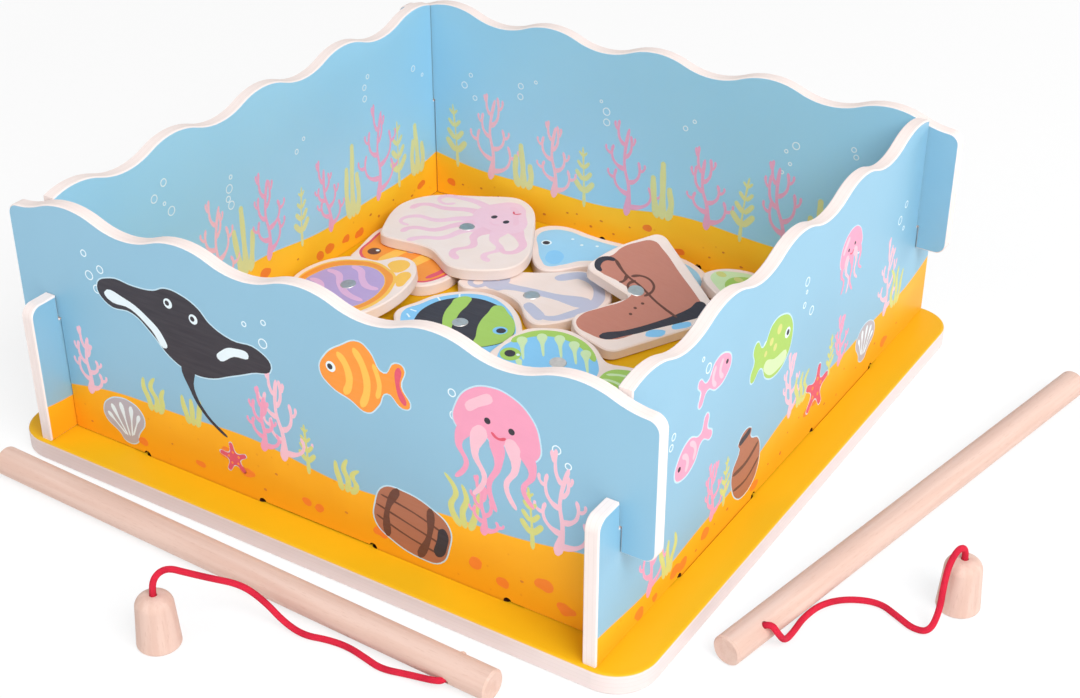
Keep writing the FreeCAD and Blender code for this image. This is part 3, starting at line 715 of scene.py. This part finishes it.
def pebbles(page, dice):
    """A few flat, uneven orange stones and small darker marks scattered on the sand."""
    along = -PEBBLE_SPAN
    while along < PEBBLE_SPAN:
        bed = page.ground(along) - PEBBLE_FOOT - PEBBLE_MARGIN
        place = (along, PEBBLE_FOOT + dice.uniform(0.15, 0.75) * bed)
        stone = dice.random() < STONE_SHARE
        size = dice.uniform(2.6, 4.6) if stone else dice.uniform(0.5, 1.1)
        rim = [(x * dice.uniform(0.65, 1.1), y * dice.uniform(0.65, 1.1))
               for x, y in circle((0, 0), size, 0.7, 7)]
        page.lay("pebble_orange" if stone else "dark_sand_mark", 1, turned(rim, 0, 1, place))
        along += PEBBLE_SPACING * dice.uniform(0.5, 1.5)


def wall_page(name, inner):
    """Empty print for one face of a wall, u to the right and v up as seen, with its sand line."""
    normal = -WALLS[name] if inner else WALLS[name]
    right = UP.cross(normal)
    plane = -WALL_INNER if inner else WALL_OUTER
    turn = Matrix((right, UP, normal)).transposed().to_4x4()
    page = Print(Matrix.Translation(normal * plane) @ turn)
    height, slope, phase = SAND_LINES[name]
    wave = bpy.context.scene.pond_look.sand_wave
    way = 1 if right.x + right.y > 0 else -1

    def ground(u):
        """Height of the sand line in millimetres at a place along the page."""
        along = way * u * MM
        line = BASE_TOP + height + slope * along + wave * math.sin(math.tau * along / LONG_WAVE + phase)
        return (line + SHORT_SHARE * wave * math.sin(math.tau * along / SHORT_WAVE + phase)) / MM

    page.ground = ground
    return page


# What stands on the sand of each page: kind, place along the wall, height above the sand
OUTER_PLANTS = {
    "front_wall": [("coral", -116, 27), ("blades", -80, 17), ("coral", -24, 25), ("coral", -14, 36),
        ("leafy", -2, 22), ("blades", 16, 15), ("coral", 78, 22), ("blades", 70, 24), ("coral", 109, 38),
        ("leafy", 99, 26), ("blades", -60, 14)],
    "right_wall": [("coral", -112, 34), ("blades", -98, 20), ("coral", -64, 26), ("leafy", -54, 22),
        ("coral", 2, 30), ("blades", 12, 18), ("coral", 50, 24), ("coral", 98, 34), ("blades", 110, 22),
        ("leafy", 40, 20)],
    "back_wall": [("coral", -108, 34), ("blades", -92, 20), ("coral", -34, 28), ("leafy", -20, 26),
        ("coral", 30, 36), ("blades", 44, 22), ("coral", 104, 30), ("leafy", 92, 24)],
    "left_wall": [("coral", -104, 30), ("leafy", -90, 24), ("coral", -30, 36), ("blades", -16, 20),
        ("coral", 48, 28), ("blades", 60, 18), ("coral", 108, 36), ("leafy", 94, 22)],
}
INNER_PLANTS = {
    "left_wall": [("coral", -104, 36), ("fingers", -86, 26), ("leafy", -66, 34), ("coral", -42, 42),
        ("fingers", -22, 34), ("coral", -6, 40), ("leafy", 18, 30), ("coral", 40, 34), ("fingers", 58, 38),
        ("coral", 78, 46), ("leafy", 96, 36), ("fingers", 112, 28)],
    "back_wall": [("leafy", -114, 34), ("coral", -94, 44), ("fingers", -74, 24), ("coral", -56, 38),
        ("leafy", -38, 32), ("coral", -14, 46), ("fingers", 6, 30), ("coral", 30, 36), ("leafy", 48, 34),
        ("coral", 70, 44), ("fingers", 88, 34), ("coral", 108, 38)],
    "front_wall": [("coral", -100, 38), ("leafy", -70, 32), ("fingers", -44, 34), ("coral", -10, 42),
        ("leafy", 20, 30), ("coral", 50, 36), ("fingers", 78, 30), ("coral", 104, 40)],
    "right_wall": [("fingers", -102, 32), ("coral", -76, 40), ("leafy", -48, 34), ("coral", -18, 36),
        ("fingers", 12, 36), ("coral", 40, 44), ("leafy", 70, 32), ("coral", 100, 38)],
}
# Motif, place on the wall, turn in degrees, scale, and whether it's flipped
OUTER_MOTIFS = {
    "front_wall": [(RAY, (-60, 76), -10, 0.98, True), (FISH, (24, 84), 8, 1), (JELLYFISH, (84, 80), -6, 1),
        (BARREL, (46, 27), -14, 1), (SHELL, (-98, 22), 12, 0.85), (STARFISH, (-40, 25), 10, 0.6)],
    "right_wall": [(MINNOW, (-84, 62), 20, 1.2), (MINNOW, (-66, 86), 6, 1.1, True),
        (PUFFER, (-16, 72), -8, 1.05, True), (POT, (-36, 29), 10, 0.9), (STARFISH, (28, 30), -8, 0.95),
        (JELLYFISH, (52, 82), 8, 0.6), (SHELL, (78, 27), -10, 0.75)],
    "back_wall": [(PUFFER, (-66, 78), 6, 1.2), (RAY, (42, 80), 8, 0.9), (BARREL, (-62, 26), 12, 1),
        (SHELL, (66, 24), -8, 0.9), (FISH, (104, 70), -6, 0.8, True), (STARFISH, (4, 22), 0, 0.7)],
    "left_wall": [(JELLYFISH, (-70, 82), 6, 1), (FISH, (8, 78), -8, 1.1, True), (MINNOW, (66, 88), 10, 1.1),
        (PUFFER, (96, 76), 4, 0.9, True), (POT, (26, 27), -8, 0.9), (STARFISH, (-52, 22), 12, 0.8)],
}
KINDS = {"coral": (coral, "coral_pink"), "blades": (blades, "weed_green"),
         "leafy": (leafy_stem, "weed_green"), "fingers": (fingers, "weed_green")}
PALER = {"coral_pink": "pale_coral", "weed_green": "pale_weed"}
PALE_SHARE = 0.3             # share of the corals that are paler
BUBBLE_COLUMNS = range(-105, 110, 42)


def sea_page(name, inner):
    """Whole sea print of one face of a wall."""
    page = wall_page(name, inner)
    dice = random.Random(name + ("_inner" if inner else "_outer"))
    for kind, along, height in (INNER_PLANTS if inner else OUTER_PLANTS)[name]:
        draw, ink = KINDS[kind]
        if inner:
            ink = PALER[ink]
        if kind == "coral" and dice.random() < PALE_SHARE:
            ink = "pale_pink"
        draw(page, (along, page.ground(along) - ROOT_DEPTH), height, ink, dice)
    if not inner:
        for motif, *placing in OUTER_MOTIFS[name]:
            page.stamp(motif, *placing)
    for along in BUBBLE_COLUMNS:
        bubbles(page, (along + dice.uniform(-10, 10), dice.uniform(66, 84)), dice.randint(2, 4), dice)
    pebbles(page, dice)
    return page


def make_print(name, pages, ink_step):
    """One object of all the ink on a piece, from the prints of its faces."""
    inks = sorted({layer[0] for page in pages for layer in page.layers})
    joined = bmesh.new()
    for page in pages:
        for number, (ink, level, outlines) in enumerate(page.layers):
            # Shapes of one layer that cross differ in height by a hair
            hair = ink_step * (number % HAIRS) / HAIRS * HAIR_SHARE
            mesh = outline_mesh(outlines, -ink_step - hair, ink_step * level + hair)
            mesh.transform(page.matrix)
            laid = len(joined.faces)
            joined.from_mesh(mesh)
            bpy.data.meshes.remove(mesh)
            joined.faces.ensure_lookup_table()
            for face in joined.faces[laid:]:
                face.material_index = inks.index(ink)
                face.smooth = False
    bmesh.ops.remove_doubles(joined, verts=joined.verts, dist=1e-7)
    bmesh.ops.recalc_face_normals(joined, faces=joined.faces)
    mesh = bpy.data.meshes.new(name)
    joined.to_mesh(mesh)
    joined.free()
    piece = bpy.data.objects.new(name, mesh)
    bpy.context.scene.collection.objects.link(piece)
    for ink in inks:
        mesh.materials.append(bpy.data.materials.get("screen_ink_" + ink) or ink_material(ink))
    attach(piece, "root")


class POND_OT_wall_prints(bpy.types.Operator):
    """Print the sea on both faces of the four walls"""
    bl_idname = "pond.wall_prints"
    bl_label = "Sea prints of the walls"

    def execute(self, context):
        step = context.scene.piece_look.ink_step
        for name in WALLS:
            make_print(name + "_sea_print", [sea_page(name, False), sea_page(name, True)], step)
        return {"FINISHED"}


# Prints of the playing pieces, in the drawn plan that their outlines share

def piece_page(name):
    """Empty print for the top face of a playing piece, matched to where its disc is drawn."""
    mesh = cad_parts[name + "_piece"].data
    top = max((face for face in mesh.polygons if face.normal.z > 0.9), key=lambda face: face.area)
    low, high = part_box(name + "_disc")
    middle = (low + high) / 2
    middle += top.normal * (top.center - middle).dot(top.normal)
    turn = UP.rotation_difference(top.normal).to_matrix().to_4x4()
    drawn = Vector((*DISC_AT[name], 0)) * MM
    return Print(Matrix.Translation(middle) @ turn @ Matrix.Translation(-drawn))


# Lines of the octopus's arms, from its head outwards, and the widths along them
OCTOPUS_ARMS = [
    [(-70, 101), (-84, 108), (-97, 109), (-108, 104), (-103, 99), (-98, 102)],
    [(-72, 98), (-87, 100), (-99, 95), (-111, 93), (-114, 86)],
    [(-74, 94), (-86, 90), (-95, 82), (-107, 80), (-110, 72), (-104, 70)],
    [(-74, 91), (-84, 83), (-90, 73), (-101, 69), (-103, 63)],
    [(-71, 89), (-78, 79), (-82, 68), (-91, 63), (-95, 57)],
    [(-67, 89), (-70, 78), (-65, 69), (-70, 60), (-64, 54)],
    [(-62, 91), (-60, 80), (-52, 73), (-55, 64), (-50, 60)],
    [(-59, 95), (-50, 88), (-44, 80), (-47, 72), (-52, 74)],
]
ARM_WIDTHS = [6, 4.6, 3.8, 3.2, 2, 1]
ORANGE_BODY = [(-113, 44), (-116, 56), (-117, 70), (-111, 80), (-98, 82), (-83, 76), (-71, 63), (-67, 53),
    (-68, 43), (-73, 36), (-86, 36.5), (-100, 39)]

# Ink, layer and outline of each shape, or a line with its widths, or an outline, None and a hole
PIECE_PRINTS = {
    # Pink octopus with eight arms
    "octopus": [
        *[("pale_pink" if number % 2 else "blush", 1, line, ARM_WIDTHS[:len(line)])
            for number, line in enumerate(OCTOPUS_ARMS)],
        ("blush", 2, [(-84, 98), (-84, 106), (-80, 113), (-73, 118.5), (-66, 116.5), (-60, 109), (-54, 100),
            (-54, 92), (-61, 88), (-71, 88), (-79, 91)]),
        ("pale_pink", 3, [(-72, 114), (-67, 112.5), (-62, 105), (-59, 98), (-63, 102), (-68, 109)]),
        ("slate", 3, circle((-73, 100), 1.5, 1.2)),
        ("slate", 3, circle((-65, 98.5), 1.5, 1.2)),
        ("pale_pink", 3, [(-72, 94.5), (-69, 93), (-66, 94)], [0.5, 1.1, 0.5]),
        ("rose", 4, [(-68, 110), (-66, 108), (-63.5, 110)], [0.4, 0.9, 0.4]),
    ],
    # Orange fish with yellow bands and a rose-rimmed tail
    "orange_fish": [
        ("rose", 1, grown(ORANGE_BODY, 1.4)),
        ("sun_orange", 2, ORANGE_BODY),
        ("stripe_yellow", 3, [(-102, 79), (-97, 70), (-98, 57), (-101, 42)], [2, 6, 6, 2]),
        ("stripe_yellow", 3, [(-89, 76), (-84, 66), (-85, 52), (-88, 39)], [2, 6, 6, 2]),
        ("rose", 3, [(-70, 59), (-69.5, 49), (-72, 40)], [1, 3, 1]),
        ("dark_brown", 3, circle((-109, 48.5), 3.2, 1.05)),
        ("foam_white", 4, circle((-108, 50), 0.9, 1, 6)),
    ],
    # Lilac fish with wavy pink stripes, an orange rim and yellow tail petals
    "purple_fish": [
        ("stripe_yellow", 1, [(-121, 5), (-120, 16), (-114, 25.5), (-103, 31), (-93, 32.5), (-85, 30),
            (-78, 26), (-74, 19), (-72, 6), (-77, -7), (-87, -15.5), (-101, -19), (-113, -11.5)]),
        ("sun_orange", 2, [(-120, 5), (-119, 15.5), (-113.5, 24.5), (-103, 30), (-93, 31), (-85, 28.5),
            (-79, 25), (-75.5, 18), (-74, 6), (-79, -6), (-88, -14), (-101, -17), (-112, -10)], None,
            [(-117, 5), (-115.5, 14), (-111, 21.5), (-102, 26.5), (-93, 28), (-85.5, 25.5), (-80.5, 21),
            (-77.5, 15), (-77, 5), (-81, -4), (-89, -11), (-100, -13.5), (-110, -8)]),
        ("lilac", 2, [(-116.6, 5), (-115.1, 14), (-110.6, 21.2), (-102, 26), (-93, 27.5), (-85.7, 25),
            (-80.8, 20.8), (-78, 15), (-77.4, 5), (-81.4, -3.8), (-89, -10.6), (-100, -13.1),
            (-109.7, -7.7)]),
        *[("soft_pink", 3, line, [1, *[3.2] * (len(line) - 2), 1])
            for line in ([(-103, 25), (-97, 23.5), (-91, 17), (-85, 13), (-79, 13)],
            [(-112, 17.5), (-105, 16.5), (-99, 10), (-90, 4), (-80, 2)],
            [(-115, 8), (-109, 7), (-102, 0), (-94, -5), (-86, -7)], [(-111, -3), (-105, -5), (-100, -10)])],
        ("stripe_yellow", 1, [(-88, 33.5), (-85, 38.6), (-79, 38.4), (-77, 33), (-80, 28.5), (-85, 30.5)]),
        ("stripe_yellow", 1, [(-76, 31), (-72.6, 30.5), (-70.6, 25), (-71.2, 19), (-75, 21.5), (-78, 26.5)]),
    ],
    # Pale blue-grey anchor
    "anchor": [
        ("anchor_blue", 1, [(-15, 79), (-4, 79), (5, 71), (8, 60), (4, 48), (-3, 39), (-11, 40)],
            [1, 4, 5.4, 5.8, 5.4, 4, 1]),
        ("anchor_blue", 1, [(-20, 72), (-18, 80), (-9, 84), (-12, 77)]),
        ("anchor_blue", 1, [(-19, 46), (-13, 45), (-5, 36), (-12, 37.5)]),
        ("anchor_blue", 2, [(7, 60), (-12, 57.5), (-30, 55), (-45, 51)], [5.4, 5, 4.8, 4.4]),
        ("anchor_blue", 1, [(-41, 62), (-38, 54), (-38, 49)], [2, 4.4, 4]),
        ("anchor_blue", 1, circle((-49, 50), 5), None, circle((-49, 50), 2.4)),
    ],
    # Light blue whale with pale spots
    "whale": [
        ("whale_blue", 1, [(-51, 107), (-48, 114), (-41, 117), (-30, 116), (-14, 116), (4, 118), (20, 119),
            (32, 115), (39, 108), (41.5, 103), (38, 103), (32, 109), (25, 112.5), (16, 111), (6, 106),
            (-8, 100), (-19, 94), (-24.5, 86), (-30, 81), (-35, 84), (-44, 95)]),
        ("sky_blue", 2, [(-36, 96), (-31, 96), (-27, 90), (-28, 84.5), (-32, 84.5), (-36, 89)]),
        *[("foam_white", 2, circle((x, y), 0.8, 1, 6))
            for x, y in ((-34, 111), (-27, 108), (-20, 111), (-12, 109), (-4, 112), (4, 113), (12, 115))],
        ("foam_white", 2, circle((-43, 101), 2.6)),
        ("slate", 3, circle((-43, 100.8), 1.8)),
    ],
    # Green turtle with olive shell patches
    "turtle": [
        ("pale_green", 1, grown([(41, 106), (50, 118), (64, 122), (78, 116), (86, 106), (78, 95), (64, 90),
            (50, 95)], -3)),
        ("leaf_green", 2, [(52, 106), (57, 114.5), (67, 116.5), (76, 112.5), (80, 106), (75, 99), (66, 96),
            (57, 98)]),
        *[("weed_green", 3, circle((x, y), size, 0.8, 6))
            for x, y, size in ((47.5, 109, 2.6), (56, 110.5, 2.4), (62, 111.5, 2.2), (70, 111, 2.6),
            (75, 105, 2.2), (68, 100, 2.4), (58, 101.5, 2.2))],
    ],
    # Dark fish with green bands and light blue fins
    "striped_fish": [
        ("sky_blue", 1, grown([(-63, 2), (-66, 11), (-63, 19), (-60, 28), (-54, 36), (-46, 42), (-35, 44),
            (-22, 39), (-12, 30), (-5, 20), (-1, 8), (-8, -6), (-24, -12), (-42, -12), (-55, -6)], -3)),
        ("slate", 2, [(-55, 8), (-56, 19), (-52, 29), (-43, 36), (-32, 37), (-21, 33), (-12, 25), (-8, 14),
            (-13, 3), (-24, -4), (-38, -6), (-49, -2)]),
        ("leaf_green", 3, [(-49, 32), (-44, 36), (-41, 30), (-40, 22), (-37, 12), (-35, 2), (-41, 9),
            (-46, 18), (-48, 26)]),
        ("leaf_green", 3, [(-29, 36.6), (-21, 33), (-12, 25), (-8.4, 14), (-12, 5), (-18, 1), (-22, 8),
            (-27, 18), (-29, 28)]),
        ("sky_blue", 4, circle((-15.5, 18), 3.4)),
        ("slate", 5, circle((-15, 18), 2.2)),
        *[("foam_white", 2, [start, ((start[0] + end[0]) / 2, (start[1] + end[1]) / 2), end], [0.4, 0.7, 0.4])
            for start, end in ([(-60, 8), (-57, 6)], [(-61, 12), (-57.5, 12)], [(-57, 28), (-54, 26)],
            [(-50, 36), (-48, 33)])],
    ],
    # Light blue fish with green stripes, back and tail
    "green_tail_fish": [
        ("sky_blue", 1, [(-2, -3), (-1, 6), (2, 14), (8, 20), (16, 24), (24, 23), (32, 19), (38.5, 13),
            (42, 6), (41, -4), (34, -14.5), (20, -20.5), (6, -15.5)]),
        ("leaf_green", 2, [(-1, 5), (2, 13), (9, 19.5), (19, 22), (29, 19.5), (36, 14)],
            [1.5, 3.6, 4.4, 4.4, 3.6, 1]),
        *[("pale_green", 3, [(x, y), (x + 4, y - 6), (x + 9, y - 13)], [3.4, 1.8, 0.4])
            for x, y in ((1, 10), (7, 17), (14, 20.5), (21.5, 20.5), (29, 18))],
        *[("pale_green", 3, [(x, y), (x + 4, y - 4), (x + 8, y - 7)], [1.6, 1.2, 0.4])
            for x, y in ((8, -4), (15, -6), (22, -8))],
        ("leaf_green", 4, circle((3.4, -3), 4.6)),
        ("slate", 5, circle((3, -2.8), 2.4)),
        ("foam_white", 5, circle((6.4, -1.6), 0.8, 1, 6)),
        ("leaf_green", 1, [(43.5, 5), (44.5, 12), (49, 16), (54.5, 17), (57, 9), (54.5, -3), (48, -5),
            (44, -1)]),
        *[("pale_green", 2, line, [0.6, 1.4, 0.5])
            for line in ([(45, 9), (50, 12), (54, 13)], [(45, 5), (50, 6.5), (55, 6)],
            [(45, 1), (50, 1), (54, -1)])],
    ],
    # Brown boot with a dark sole, a dark opening and laces
    "boot": [
        ("boot_brown", 1, [(-1, 75), (-3, 80), (0, 88), (0.6, 96), (4, 104), (9.5, 110.5), (16, 108),
            (31, 98), (47, 87.5), (52.5, 83), (53, 76), (48, 68), (39, 51), (30, 35.5), (21, 33),
            (13.5, 34.5), (11.5, 41), (16, 52), (21.5, 64), (21, 70.5), (14, 73)]),
        ("slate", 2, [(2, 74), (-1.5, 77), (-1.6, 83), (3, 86)], [1, 3, 3.2, 1.2]),
        ("slate", 2, [(50, 86), (51, 79), (48.5, 72), (42, 59), (34, 45), (26, 34.5)], [3, 7, 6, 4, 3.4, 2]),
        *[("dark_brown", 3, line, [0.8, *[1.2] * (len(line) - 2), 0.6])
            for line in ([(3, 86), (12, 80), (22, 77), (34, 72), (46, 69)], [(13, 80), (14, 75), (13, 73)],
            [(15, 80.5), (19, 84), (25, 83), (28, 78), (27, 72)], [(18, 79), (17, 74), (20, 71)])],
        *[("dark_brown", 2, circle((x, y), 0.8, 1, 6)) for x, y in ((28, 62), (28.5, 57), (29, 67))],
        *[("sky_blue", 1, points)
            for points in ([(50, 68), (53, 70), (51, 63), (48, 61)],
            [(45, 57), (47, 57), (43, 49), (41, 49)])],
    ],
}


class POND_OT_piece_prints(bpy.types.Operator):
    """Print the nine playing pieces"""
    bl_idname = "pond.piece_prints"
    bl_label = "Prints of the playing pieces"

    def execute(self, context):
        for name, shapes in PIECE_PRINTS.items():
            page = piece_page(name)
            for shape in shapes:
                page.lay(*shape)
            make_print(name + "_print", [page], context.scene.piece_look.ink_step)
        return {"FINISHED"}


# Cords as they lie, in millimetres, from the rod's cross hole to the bell. The left one leaves its hole in an
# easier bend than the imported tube's

CORDS = {
    "left": {
        "points": [(89.87, -174.53, 4.8), (89.5, -177.4, 4.3), (86.5, -178.6, 4.0), (81.5, -178.8, 3.0),
            (74.96, -178.85, 1.6), (65.46, -181.25, 1.35), (57.46, -179.65, 1.35), (48.46, -178.05, 1.35),
            (39.46, -178.95, 1.35), (30.96, -181.65, 1.35), (21.96, -181.45, 3.2), (12.96, -181.55, 9.6),
            (5.46, -184.55, 15.8), (-1.04, -192.95, 21.5), (-5.24, -200.95, 27.8), (-8.44, -205.55, 31.4),
            (-10.64, -209.25, 30.4), (-11.54, -211.45, 26.5), (-11.54, -211.45, 22.0)],
        "hole": (89.96, -171.24, 6.0),
        "length": 136.8,
    },
    "right": {
        "points": [(172.0, -96.43, 8.47), (175.89, -97.19, 12.43), (178.97, -96.36, 8.0),
            (179.77, -92.16, 2.2), (179.87, -84.96, 1.35), (179.47, -75.46, 1.35), (181.77, -64.96, 1.35),
            (188.57, -56.96, 1.35), (199.47, -52.56, 1.35), (208.47, -56.56, 1.35), (215.97, -60.16, 1.35),
            (221.87, -58.96, 1.8), (222.37, -52.56, 7.5), (221.37, -48.56, 16.0), (221.37, -45.56, 24.0),
            (222.77, -41.16, 28.8), (224.27, -37.16, 26.6), (224.27, -37.16, 22.0)],
        "hole": (169.57, -95.96, 6.0),
        "length": 129.8,
    },
}


def make_cord(side, look):
    """Free cord of one rod, from its cross hole to its bell."""
    lie = CORDS[side]
    curve = bpy.data.curves.new(side + "_braided_cord", "CURVE")
    curve.dimensions = "3D"
    curve.bevel_depth = look.cord_diameter / 2
    curve.bevel_resolution = 5
    curve.use_fill_caps = True
    curve.resolution_u = 10
    spline = curve.splines.new("NURBS")
    spline.points.add(len(lie["points"]) - 1)
    for point, (x, y, z) in zip(spline.points, lie["points"]):
        point.co = (x * MM, y * MM, z * MM, 1)
    spline.order_u = 3
    spline.use_endpoint_u = True
    cord = bpy.data.objects.new(side + "_braided_cord", curve)
    bpy.context.scene.collection.objects.link(cord)
    length = lie["length"] * MM
    give(cord, cord_material(look, length))
    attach(cord, "root")
    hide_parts(side + "_cord")
    return cord


class POND_OT_walls(bpy.types.Operator):
    """Finish the four walls and the base board"""
    bl_idname = "pond.walls"
    bl_label = "Walls and base board"

    def execute(self, context):
        look = context.scene.pond_look
        for name, outward in WALLS.items():
            give(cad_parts[name], wall_material(name, outward, look))
        give(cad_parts["base_board"], base_material(look))
        return {"FINISHED"}


class POND_OT_ply(bpy.types.Operator):
    """Finish the ply and the steel discs of the nine playing pieces"""
    bl_idname = "pond.ply"
    bl_label = "Ply and discs of the playing pieces"

    def execute(self, context):
        look = context.scene.piece_look
        ply = birch_material(look)
        steel = steel_material("zinc_plated_steel", look)
        for name in DISC_AT:
            give(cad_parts[name + "_piece"], ply)
            give(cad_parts[name + "_disc"], steel)
        return {"FINISHED"}


class POND_OT_rods(bpy.types.Operator):
    """Finish the rods, pegs, bells and magnets, and lay the red cords"""
    bl_idname = "pond.rods"
    bl_label = "Rods, bells and cords"

    def execute(self, context):
        look = context.scene.rod_look
        nickel = steel_material("nickel_plated_magnet", context.scene.piece_look)
        for side, degrees in ROD_TURNS.items():
            for part, turn in (("_rod", (0, 0, math.radians(degrees))), ("_bell", (0, math.radians(-90), 0))):
                low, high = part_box(side + part)
                beech = beech_material(side + "_turned_beech" + part, look, (low + high) / 2, turn)
                give(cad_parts[side + part], beech)
            give(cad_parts[side + "_rod_peg"], *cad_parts[side + "_rod"].data.materials)
            give(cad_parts[side + "_bell_magnet"], nickel)
            cord = make_cord(side, look)
            give(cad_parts[side + "_cord_knot"], *cord.data.materials)
        return {"FINISHED"}


def area_lamp(name, place, aim, side, power):
    """Square soft lamp aimed at a point."""
    data = bpy.data.lights.new(name, "AREA")
    data.size = side
    data.energy = power
    lamp = bpy.data.objects.new(name, data)
    lamp.location = place
    lamp.rotation_euler = (Vector(aim) - Vector(place)).to_track_quat("-Z", "Y").to_euler()
    bpy.context.scene.collection.objects.link(lamp)


class POND_OT_stage(bpy.types.Operator):
    """Set up the camera, the lamps, the white world and the floor"""
    bl_idname = "pond.stage"
    bl_label = "Camera, lamps and floor"

    def execute(self, context):
        look = context.scene.stage_look
        scene = context.scene
        azimuth, elevation = math.radians(look.azimuth), math.radians(look.elevation)
        back = Vector((math.sin(azimuth) * math.cos(elevation), -math.cos(azimuth) * math.cos(elevation),
                       math.sin(elevation)))
        data = bpy.data.cameras.new("camera")
        data.sensor_width = 36
        data.lens = look.lens
        data.clip_start = 0.01
        camera = bpy.data.objects.new("camera", data)
        camera.location = CAMERA_AIM + back * look.distance
        turn = back.to_track_quat("Z", "Y").to_matrix().to_4x4()
        camera.rotation_euler = (turn @ Matrix.Rotation(math.radians(look.roll), 4, "Z")).to_euler()
        scene.collection.objects.link(camera)
        scene.camera = camera
        scene.view_settings.view_transform = "Standard"

        for name, (place, aim, side) in LAMPS.items():
            area_lamp(name + "_lamp", place, aim, side, getattr(look, name))

        world = bpy.data.worlds.new("white_world")
        scene.world = world
        world.use_nodes = True
        tree = world.node_tree
        tree.nodes.clear()
        rays = add(tree, "LightPath").outputs
        mirrored = add(tree, "Math", (rays["Is Camera Ray"], rays["Is Glossy Ray"]), operation="MAXIMUM")
        seen = add(tree, "Math", (mirrored, rays["Is Transmission Ray"]), operation="MAXIMUM")
        strength = add(tree, "MapRange", (seen, 0, 1, look.world, 1))
        white = add(tree, "Background", {"Color": look.paper_glow, "Strength": strength})
        add(tree, "OutputWorld", (white,))

        sheet = bmesh.new()
        bmesh.ops.create_grid(sheet, x_segments=1, y_segments=1, size=FLOOR_REACH)
        mesh = bpy.data.meshes.new("studio_floor")
        sheet.to_mesh(mesh)
        sheet.free()
        floor = bpy.data.objects.new("studio_floor", mesh)
        scene.collection.objects.link(floor)
        give(floor, floor_material(look))
        return {"FINISHED"}


class POND_PT_panel(bpy.types.Panel):
    """Steps that dress the fishing game, in order"""
    bl_idname = "POND_PT_panel"
    bl_label = "Magnetic fishing game"
    bl_space_type = "VIEW_3D"
    bl_region_type = "UI"
    bl_category = "Fishing game"

    def draw(self, context):
        for operator in OPERATORS:
            self.layout.operator(operator.bl_idname)


OPERATORS = [POND_OT_stage, POND_OT_rods, POND_OT_walls, POND_OT_wall_prints, POND_OT_ply,
             POND_OT_piece_prints]
LOOKS = {"pond_look": PondLook, "piece_look": PieceLook, "ink_look": InkLook, "rod_look": RodLook,
         "stage_look": StageLook}
CLASSES = [*LOOKS.values(), *OPERATORS, POND_PT_panel]


def register():
    """Add the settings, operators and panel."""
    for item in CLASSES:
        bpy.utils.register_class(item)
    for name, group in LOOKS.items():
        setattr(bpy.types.Scene, name, bpy.props.PointerProperty(type=group))


def unregister():
    """Take them away again."""
    for name in LOOKS:
        delattr(bpy.types.Scene, name)
    for item in reversed(CLASSES):
        bpy.utils.unregister_class(item)


def main():
    """Dress the whole set."""
    register()
    bpy.ops.pond.stage()
    bpy.ops.pond.rods()
    bpy.ops.pond.walls()
    bpy.ops.pond.wall_prints()
    bpy.ops.pond.ply()
    bpy.ops.pond.piece_prints()


if __name__ == "__main__":
    main()
